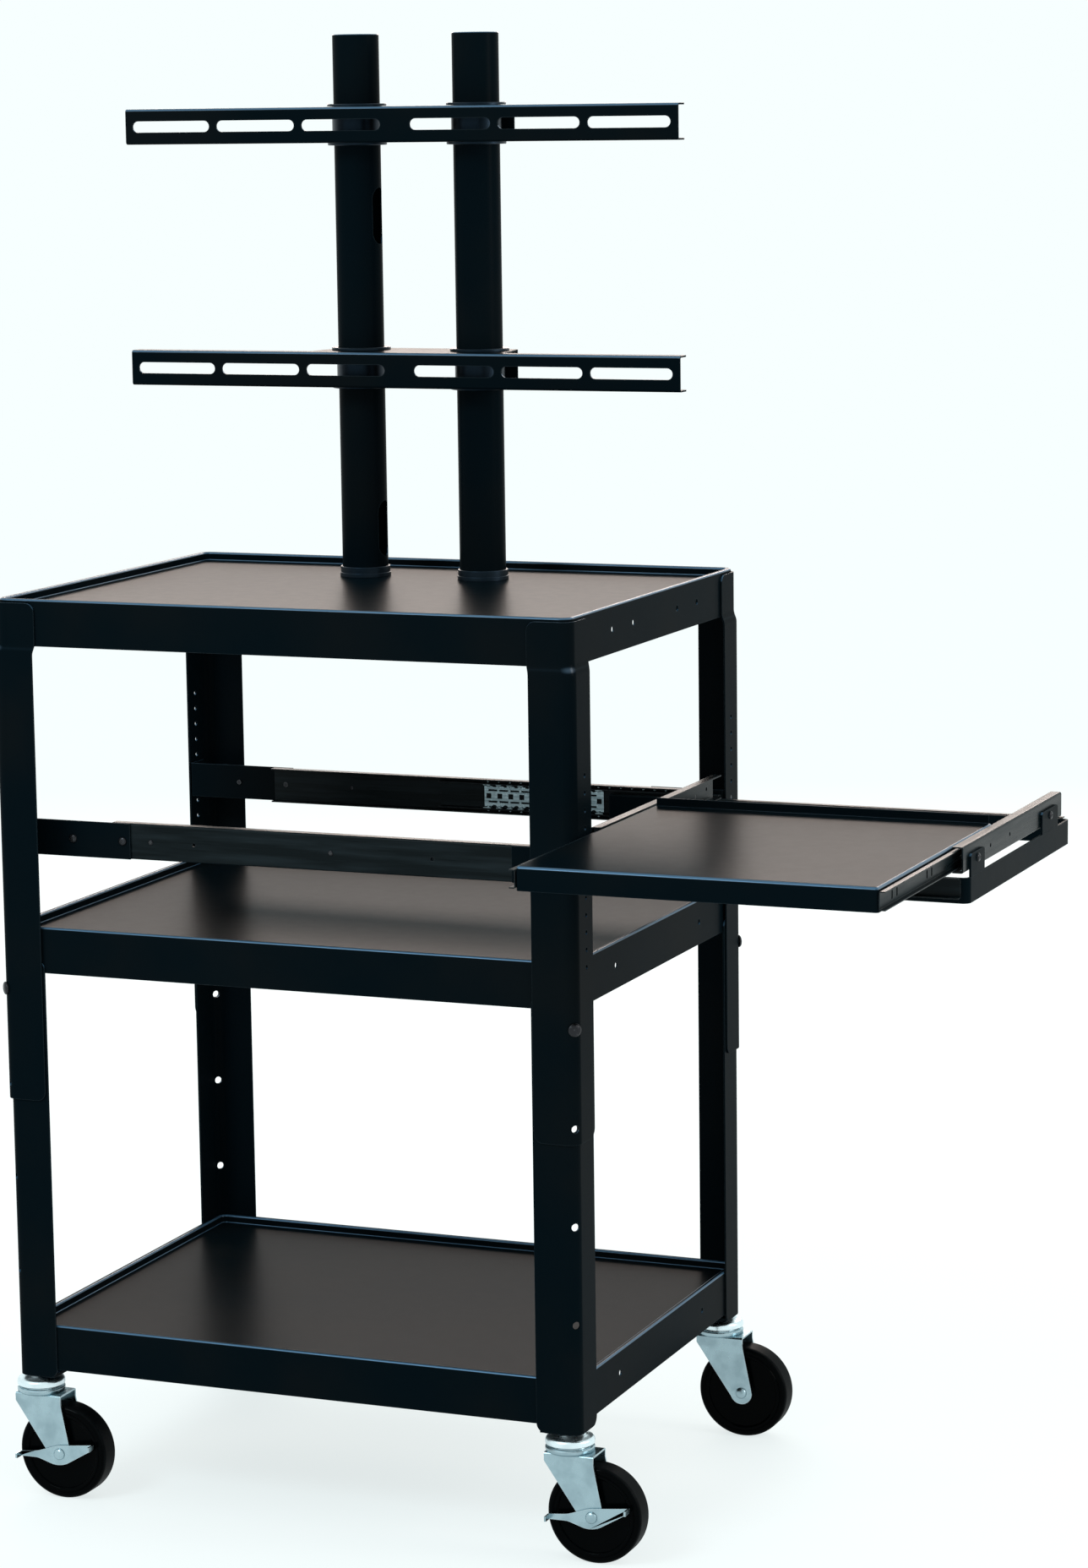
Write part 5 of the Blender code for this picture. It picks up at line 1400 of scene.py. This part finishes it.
@dataclass
class Carriage:
    """Flat bar frame that slides out sideways, and the slides that carry the tray."""

    corner: float = 0.008
    tab_round: float = 0.004
    outer_span: Flat = (0.047, 0.353)
    outer_flange: float = 0.0112
    outer_holes: tuple[float, ...] = (0.140, 0.208, 0.380)
    inner_span: Flat = (-0.180, 0.360)
    inner_flange: float = 0.0066
    inner_slots: tuple[float, ...] = (-0.143, -0.128, -0.034, -0.019)
    inner_slot_size: Flat = (0.009, 0.004)
    ball_space: float = 0.0024
    retainer_span: Flat = (0.052, 0.120)
    retainer_flange: float = 0.003
    screw_drop: float = 0.003
    drill_reach: float = 0.004

    def build(self, finishes: Finishes) -> None:
        """Model the frame, its screws and the tray slides."""
        front, back = ARM_Y, SHELF_DEPTH - ARM_Y
        work = Workpiece.block("carriage_bar", (INNER_LEFT, front, BAR_LOW), (CARRIAGE_RIGHT, back, BAR_HIGH))
        work.remove_faces(lambda c, n: abs(n.z) > FACING or n.x < -FACING)
        work.round_edges(lambda a, b: abs(a.z - b.z) > TINY and a.x > CARRIAGE_RIGHT - TINY, self.corner, 10)
        work.thicken(BAR_SHEET)
        work.join(self.cross_bar(front, back), *self.right_tabs()).soften(SHEET_EDGE).smooth()
        work.settle(finishes.coat, "carriage", "carriage_frame")
        for side in Side:
            self.tray_slide(finishes, side)

    def tab(self, low: float, high: float, foot: float) -> list[Flat]:
        """Outline of one upright tab with rounded upper corners, from its right foot to its left."""
        edge = self.tab_round
        outline = [(high, foot)] + arc((high - edge, TAB_TOP - edge), edge, 0, 90, 5)
        return outline + arc((low + edge, TAB_TOP - edge), edge, 90, 180, 5) + [(low, foot)]

    def cross_bar(self, front: float, back: float) -> Workpiece:
        """Left cross bar with its two tabs."""
        half = BAR_SHEET / 2
        outline = [(front + half, BAR_LOW), (back - half, BAR_LOW), (back - half, BAR_HIGH)]
        for low, high in reversed(TAB_SPANS):
            outline += self.tab(low, high, BAR_HIGH)
        outline += [(front + half, BAR_HIGH)]
        return Workpiece.plate("cross_bar", outline, Axis.X, CROSS_BAR_X - BAR_SHEET, CROSS_BAR_X)

    def right_tabs(self) -> list[Workpiece]:
        """The two tabs welded to the right arm."""
        foot, ease = BAR_HIGH - 0.004, 0.0001
        span = (CARRIAGE_RIGHT - BAR_SHEET + ease, CARRIAGE_RIGHT - ease)
        return [Workpiece.plate("tab", self.tab(low, high, foot), Axis.X, *span) for low, high in TAB_SPANS]

    def tray_slide(self, finishes: Finishes, side: Side) -> None:
        """Both members, the retainer and the screws of the slide at one side of the tray."""
        self.tray_outer(finishes, side)
        name = side.word
        web = self.outer_web(side) - side.value * (SLIDE_SHEET + GAP)
        height = TRAY_SLIDE_HEIGHT - 2 * (SLIDE_SHEET + GAP)
        rail = Rail("tray_ball_retainer_" + name, Axis.Y, *self.retainer_span, web, -side.value,
                    self.retainer_flange, height, TRAY_SLIDE_Z, RETAINER_SHEET, 0.0012)
        retainer = rail.model().soften(0.00015).smooth()
        retainer.settle(finishes.retainer, "tray_retainers", "tray_slide_retainer_" + name)
        web = TRAY_RIGHT + GAP if side is Side.RIGHT else TRAY_LEFT - GAP
        height = TRAY_SLIDE_HEIGHT - 2 * (SLIDE_SHEET + self.ball_space)
        rail = Rail("tray_inner_rail_" + name, Axis.Y, *self.inner_span, web, side.value, self.inner_flange,
                    height, TRAY_SLIDE_Z, MEMBER_SHEET, 0.0016)
        inner = rail.model().soften(RAIL_EDGE)
        tools, reach = [], MEMBER_SHEET + OVERRUN
        for y in self.inner_slots:
            outline = [(y + up, TRAY_SLIDE_Z + along) for along, up in obround((0, 0), *self.inner_slot_size)]
            tools.append(Workpiece.plate("slot", outline, Axis.X, web - reach, web + reach))
        inner.cut(*tools).smooth()
        inner.settle(finishes.tray_steel, "tray", "tray_slide_inner_" + name)

    @staticmethod
    def outer_web(side: Side) -> float:
        """X of the outer face of an outer member."""
        return TRAY_SLIDE_X if side is Side.RIGHT else CROSS_BAR_X + GAP

    def tray_outer(self, finishes: Finishes, side: Side) -> None:
        """Outer member of one tray slide, and the screws that hold it to the tabs."""
        name = side.word
        web, reach = self.outer_web(side), self.drill_reach
        rail = Rail("tray_outer_rail_" + name, Axis.Y, *self.outer_span, web, -side.value, self.outer_flange,
                    TRAY_SLIDE_HEIGHT, TRAY_SLIDE_Z, SLIDE_SHEET)
        outer = rail.model()
        face = CARRIAGE_RIGHT if side is Side.RIGHT else CROSS_BAR_X - BAR_SHEET
        z = TRAY_SLIDE_Z - self.screw_drop
        seats = [(face, (low + high) / 2, z) for low, high in TAB_SPANS]
        holes = [(y, z, 0.0024) for _, y, z in seats] + [(y, TRAY_SLIDE_Z, 0.0022) for y in self.outer_holes]
        tools = [Workpiece.drill((web - reach, y, level), (web + reach, y, level), radius)
                 for y, level, radius in holes]
        outer.soften(RAIL_EDGE).cut(*tools).smooth()
        outer.settle(finishes.tray_steel, "carriage", "tray_slide_outer_" + name)
        Screw().drive("tray_slide_screw_" + name, seats, (side.value, 0, 0), 0.004, finishes.bolt, "carriage")


@dataclass
class LaptopTray:
    """Tray folded from one sheet, with a lip along its back."""

    sheet: float = 0.0015
    skirt: float = 0.024
    fold: float = 0.0035
    back_lip: float = 0.0085

    def build(self, finishes: Finishes) -> None:
        """Model the tray."""
        low, top = TRAY_TOP - self.skirt, TRAY_TOP
        work = Workpiece.block("tray_sheet", (TRAY_LEFT, TRAY_FRONT, low), (TRAY_RIGHT, TRAY_BACK, top))
        work.remove_faces(lambda c, n: n.z < -FACING or n.y > FACING)
        work.round_edges(self.is_fold, self.fold, 6)
        inset = self.fold + TINY
        work.pull_edges(lambda a, b: min(a.y, b.y) > TRAY_BACK - TINY and min(a.z, b.z) > top - TINY
                        and abs(a.x - b.x) > inset, (0, 0, self.back_lip))
        work.thicken(self.sheet).soften(THIN_EDGE).smooth()
        work.settle(finishes.coat, "tray", "laptop_tray")

    @staticmethod
    def is_fold(first: Vector, second: Vector) -> bool:
        """Whether an edge is one of the tray's folds: along its top front and sides, or its front corners."""
        middle = (first + second) / 2
        high = min(first.z, second.z) > TRAY_TOP - TINY
        front = max(first.y, second.y) < TRAY_FRONT + TINY
        side = abs(first.y - second.y) > TINY
        upright = abs(first.z - second.z) > TINY
        return (high and (front or side)) or (front and upright and middle.z < TRAY_TOP)


@dataclass
class Caster(CornerPart):
    """Trailing swivel caster, with a brake pedal at the front."""

    inset: float = 0.018
    race_radius: float = 0.0255
    fork_sheet: float = 0.002
    fork_nose: float = 0.0125
    fork_plate: Flat = (-0.022, 0.0315)
    pedal_hole: float = 0.0046
    pedal_size: Flat = (0.090, 0.028)

    @property
    def pivot(self) -> Flat:
        """X and Y of the swivel's axis."""
        x = self.side.value * (HALF_LENGTH + LEG_PLANE - self.inset)
        return x, HALF_DEPTH + self.row.value * (HALF_DEPTH + LEG_PLANE - self.inset)

    @property
    def axle(self) -> Point:
        """Middle of the wheel."""
        x, y = self.pivot
        return (x + CASTER_TRAIL, y, WHEEL_RADIUS)

    def build(self, finishes: Finishes) -> None:
        """Model the race, fork, wheel and pedal."""
        self.race(finishes)
        self.fork(finishes)
        self.wheel()
        if self.row is Row.FRONT:
            self.pedal(finishes)

    def race(self, finishes: Finishes) -> None:
        """Domed upper race, fixed under the foot plate."""
        radius = self.race_radius
        neck = radius - 0.0045
        profile = [(neck, -0.0141), (neck, -0.0120), (radius - 0.0008, -0.0120), (radius, -0.0112),
                   (radius, -0.0092)]
        profile += arc((radius - 0.0040, -0.0082), 0.0040, 10, 70, 5)
        profile += [(0.0200, -0.0036), (0.0172, -0.0024), (0.0160, -0.0010), (0.0155, 0.0)]
        work = Workpiece.turned("race_" + self.corner, profile, (*self.pivot, CASTER_TOP), UP, LARGE_ROUND)
        work.smooth(35).settle(finishes.race_zinc, "base", "caster_race_" + self.corner)

    def fork(self, finishes: Finishes) -> None:
        """Folded fork with its lower race and the riveted axle."""
        x, y = self.pivot
        low = (x - 0.024, y - FORK_OUTER, 0.036)
        high = (x + CASTER_TRAIL + 0.0145, y + FORK_OUTER, FORK_PLATE_TOP)
        work = Workpiece.block("fork_" + self.corner, low, high)
        work.remove_faces(lambda c, n: n.z < -FACING or abs(n.x) > FACING)
        work.round_edges(lambda a, b: min(a.z, b.z) > FORK_PLATE_TOP - TINY and abs(a.x - b.x) > TINY,
                         0.0026, 5)
        work.thicken(self.fork_sheet)
        knee, top = FORK_PLATE_TOP - 0.009, FORK_PLATE_TOP + OVERRUN
        left, right = self.fork_plate
        outline = [(left, top), (left, knee)]
        outline += arc((CASTER_TRAIL, WHEEL_RADIUS), self.fork_nose, 200, 360, 20)
        outline += [(right, knee), (right, top)]
        placed = [(x + a, z) for a, z in outline]
        trim = Workpiece.plate("trim", placed, Axis.Y, y - 0.03, y + 0.03)
        work.combine("INTERSECT", [trim])
        work.join(*self.fork_joins(x, y)).soften(SHEET_EDGE).smooth(35)
        work.settle(finishes.zinc, "swivel_" + self.corner, "caster_fork_" + self.corner)

    def fork_joins(self, x: float, y: float) -> list[Workpiece]:
        """Lower race and riveted axle, which are one with the fork."""
        radius = self.race_radius
        base = FORK_PLATE_TOP - 0.001
        race = [(radius - 0.003, 0), (radius - 0.0008, 0.0015), (radius, 0.0028), (radius, 0.0052),
                (radius - 0.0008, 0.0060)]
        joins = [Workpiece.turned("lower_race", race, (x, y, base), UP, LARGE_ROUND)]
        front_seat = FORK_FACE + PEDAL_SHEET + GAP if self.row is Row.FRONT else FORK_FACE
        points = self.rivet(-front_seat) + list(reversed(self.rivet(FORK_FACE)))
        joins.append(Workpiece.turned("axle", points, self.axle, BACKWARDS, MEDIUM_ROUND))
        return joins

    @staticmethod
    def rivet(seat: float) -> list[Flat]:
        """Domed rivet head beyond a seat, from its tip to the shank."""
        side = 1 if seat > 0 else -1
        points = [(0.0012, 0.0032), (0.0032, 0.0029), (0.0050, 0.0021), (0.0060, 0.0010), (0.00625, 0.0)]
        return [(radius, seat + side * height) for radius, height in points] + [(0.0042, seat)]

    def wheel(self) -> None:
        """Wheel with a hub, recessed disc, rim bead, side groove and rounded tread."""
        half, hub = 0.014, 0.015
        side = [(0.0046, hub), (0.0110, hub), (0.0118, hub - 0.0006), (0.0124, half - 0.0030),
                (0.0140, half - 0.0036), (0.0250, half - 0.0034), (0.0360, half - 0.0030),
                (0.0388, half - 0.0024), (0.0400, half - 0.0006), (0.0408, half), (0.0432, half),
                (0.0436, half - 0.0006), (0.0442, half - 0.0006), (0.0446, half - 0.0002)]
        side += arc((0.0458, half - 0.0050), 0.0050, 76, 0, 7)
        profile = [(radius, -height) for radius, height in side] + [(WHEEL_RADIUS, 0.0)]
        profile += list(reversed(side)) + [(side[0][0], -side[0][1])]
        name = "caster_wheel_" + self.corner
        work = Workpiece.turned(name, profile, self.axle, BACKWARDS, FINE_ROUND, False, False)
        centre = Vector(self.axle) + ORIGIN_SHIFT
        finish = Finish(WheelRubber("glossy_wheel_" + self.corner, tuple(centre)).material(), Slot.WHEEL)
        work.smooth(CURVE_ANGLE).settle(finish, "wheel_body_" + self.corner, "wheel_" + self.corner)

    def pedal(self, finishes: Finishes) -> None:
        """Rhomboid brake pedal with a bent foot tab at each end."""
        x, y, z = self.axle
        shares = ((-0.530, -0.230), (-0.290, -0.220), (0.010, -0.520), (0.455, 0.320),
                  (0.455, 0.500), (-0.033, 0.320), (-0.290, 0.040), (-0.530, -0.040))
        length, tall = self.pedal_size
        outline = [(x + along * length, z + up * tall) for along, up in shares]
        face = y - FORK_FACE
        work = Workpiece.plate("foot_pedal_" + self.corner, outline, Axis.Y, face - PEDAL_SHEET, face)
        for radius, steps, corners in ((0.011, 8, (2,)), (0.003, 5, (1, 5, 6))):
            places = [outline[corner] for corner in corners]
            work.round_edges(lambda a, b, places=places: abs(a.y - b.y) > TINY and any(
                abs(a.x - p[0]) + abs(a.z - p[1]) < TINY for p in places), radius, steps)
        span = (face - PEDAL_SHEET - 0.010, face - PEDAL_SHEET / 2)
        left, right = outline[0][0], outline[3][0]
        for edge, inner, low, high in ((left, left + PEDAL_SHEET, outline[0][1], outline[7][1]),
                                       (right - PEDAL_SHEET, right, outline[3][1], outline[4][1])):
            work.join(Workpiece.block("tab", (edge, span[0], low), (inner, span[1], high)))
        near, far = (x, face - PEDAL_SHEET - 2 * OVERRUN, z), (x, face + OVERRUN, z)
        work.cut(Workpiece.drill(near, far, self.pedal_hole, SCREW_ROUND))
        work.soften(SHEET_EDGE).smooth()
        work.settle(finishes.zinc, "pedal_" + self.corner, "brake_pedal_" + self.corner)


@dataclass
class Studio:
    """Pale floor, pale surroundings, soft lamps and the photograph's camera."""

    camera_place: Point = (1.6953, -4.0439, 1.4684)
    yaw: float = 22.3069
    down: float = 9.0428
    roll: float = -0.7536
    focal_pixels: float = 5097.85
    image_height: float = 1856.0
    pale: Colour = (0.93, 1.0, 1.0)
    floor_share: float = 0.75

    def build(self) -> None:
        """Set up the floor, the surroundings, the lamps and the camera."""
        self.floor()
        self.surroundings()
        self.lamp("front_softbox", (-1.4, -3.0, 3.2), (-0.1, 0.1, 0.7), (1.4, 1.0), 60.0, (0.80, 0.94, 1.0))
        self.lamp("right_softbox", (3.4, 0.3, 1.9), (0.0, 0.1, 0.7), (1.0, 1.4), 42.0, (1.0, 0.94, 0.90))
        self.lamp("back_softbox", (-1.5, 3.9, 2.15), (0.0, 0.2, 0.9), (3.2, 0.7), 76.0, (1.0, 0.83, 0.74))
        self.camera()
        bpy.context.scene.view_settings.view_transform = "Standard"

    def floor(self) -> None:
        """Wide pale floor that keeps the object's shadow."""
        Workpiece.let_go()
        bpy.ops.mesh.primitive_plane_add(size=60)
        floor = Workpiece.take("studio_floor").item
        sheet = NodeSheet("pale_floor")
        sheet.dress(Base_Color=(*self.pale, 1), Roughness=0.9, Specular_IOR_Level=0.0)
        glow = sheet.add("ShaderNodeEmission", Color=(*self.pale, 1), Strength=1.0)
        seen = self.seen(sheet.tree)
        mix = sheet.tree.nodes.new("ShaderNodeMixShader")
        sheet.feed(mix.inputs[0], sheet.times(seen, self.floor_share))
        sheet.feed(mix.inputs[1], sheet.shader.outputs[0])
        sheet.feed(mix.inputs[2], glow.outputs[0])
        sheet.feed(sheet.tree.nodes["Material Output"].inputs[0], mix.outputs[0])
        floor.data.materials.append(sheet.material)

    @staticmethod
    def seen(tree: bpy.types.NodeTree) -> Socket:
        """Share that is one for camera, glossy and transmission rays."""
        path = tree.nodes.new("ShaderNodeLightPath")
        total = path.outputs["Is Camera Ray"]
        for name in ("Is Glossy Ray", "Is Transmission Ray"):
            node = tree.nodes.new("ShaderNodeMath")
            node.operation = "MAXIMUM"
            tree.links.new(total, node.inputs[0])
            tree.links.new(path.outputs[name], node.inputs[1])
            total = node.outputs[0]
        return total

    def surroundings(self) -> None:
        """Pale world, plain for the camera and softer as light."""
        world = bpy.data.worlds.new("studio_world")
        bpy.context.scene.world = world
        world.use_nodes = True
        tree = world.node_tree
        light = tree.nodes["Background"]
        light.inputs[0].default_value = (1.0, 1.0, 1.0, 1)
        light.inputs[1].default_value = 1.0
        plain = tree.nodes.new("ShaderNodeBackground")
        plain.inputs[0].default_value = (*self.pale, 1)
        mix = tree.nodes.new("ShaderNodeMixShader")
        tree.links.new(self.seen(tree), mix.inputs[0])
        tree.links.new(light.outputs[0], mix.inputs[1])
        tree.links.new(plain.outputs[0], mix.inputs[2])
        tree.links.new(mix.outputs[0], tree.nodes["World Output"].inputs[0])

    @staticmethod
    def lamp(name: str, place: Point, target: Point, size: Flat, power: float, colour: Colour) -> None:
        """Soft rectangular lamp that points at a target."""
        Workpiece.let_go()
        bpy.ops.object.light_add(type="AREA", location=place)
        lamp = bpy.context.object
        lamp.name = name
        lamp.data.shape = "RECTANGLE"
        lamp.data.size, lamp.data.size_y = size
        lamp.data.energy = power
        lamp.data.color = colour
        lamp.rotation_mode = "QUATERNION"
        lamp.rotation_quaternion = (Vector(target) - Vector(place)).to_track_quat("-Z", "Y")

    def camera(self) -> None:
        """Camera at the photograph's viewing angle."""
        Workpiece.let_go()
        bpy.ops.object.camera_add(location=self.camera_place)
        camera = bpy.context.object
        yaw, down, roll = (math.radians(angle) for angle in (self.yaw, self.down, self.roll))
        ahead = Vector((-math.sin(yaw) * math.cos(down), math.cos(yaw) * math.cos(down), -math.sin(down)))
        right = Vector((math.cos(yaw), math.sin(yaw), 0))
        up = right.cross(ahead)
        across = right * math.cos(roll) + up * math.sin(roll)
        above = up * math.cos(roll) - right * math.sin(roll)
        turn = Matrix((across, above, -ahead)).transposed()
        camera.rotation_mode = "QUATERNION"
        camera.rotation_quaternion = turn.to_quaternion()
        camera.data.sensor_width = 36.0
        camera.data.lens = self.focal_pixels / self.image_height * camera.data.sensor_width
        camera.data.clip_start, camera.data.clip_end = 0.1, 100.0
        bpy.context.scene.camera = camera


def main() -> None:
    """Build every piece of the cart, then the studio around it."""
    logging.basicConfig(level=logging.INFO, format="%(name)s: %(message)s", stream=sys.stdout)
    finishes = Finishes()
    shelves = (
        Shelf("bottom_shelf", BOTTOM_RIM, "base", (0.245,)),
        Shelf("middle_shelf", MIDDLE_RIM, "upper_frame", (0.245,)),
        Shelf("top_shelf", TOP_RIM, "upper_frame", (0.245, 0.127)),
    )
    corners = [(side, row) for row in Row for side in Side]
    parts = [*shelves, *(CornerAngle(*corner) for corner in corners), *(ScreenPole(side) for side in Side)]
    parts += [ScreenBracket("upper", 0.4875), ScreenBracket("lower", 0.2274)]
    parts += [SideSlides(Row.FRONT), SideSlides(Row.BACK, web_screws=(-0.170, -0.120, -0.080))]
    parts += [Carriage(), LaptopTray(), *(Caster(*corner) for corner in corners)]
    for part in parts:
        log.info("building %s", part)
        part.build(finishes)
    Studio().build()


if __name__ == "__main__":
    main()
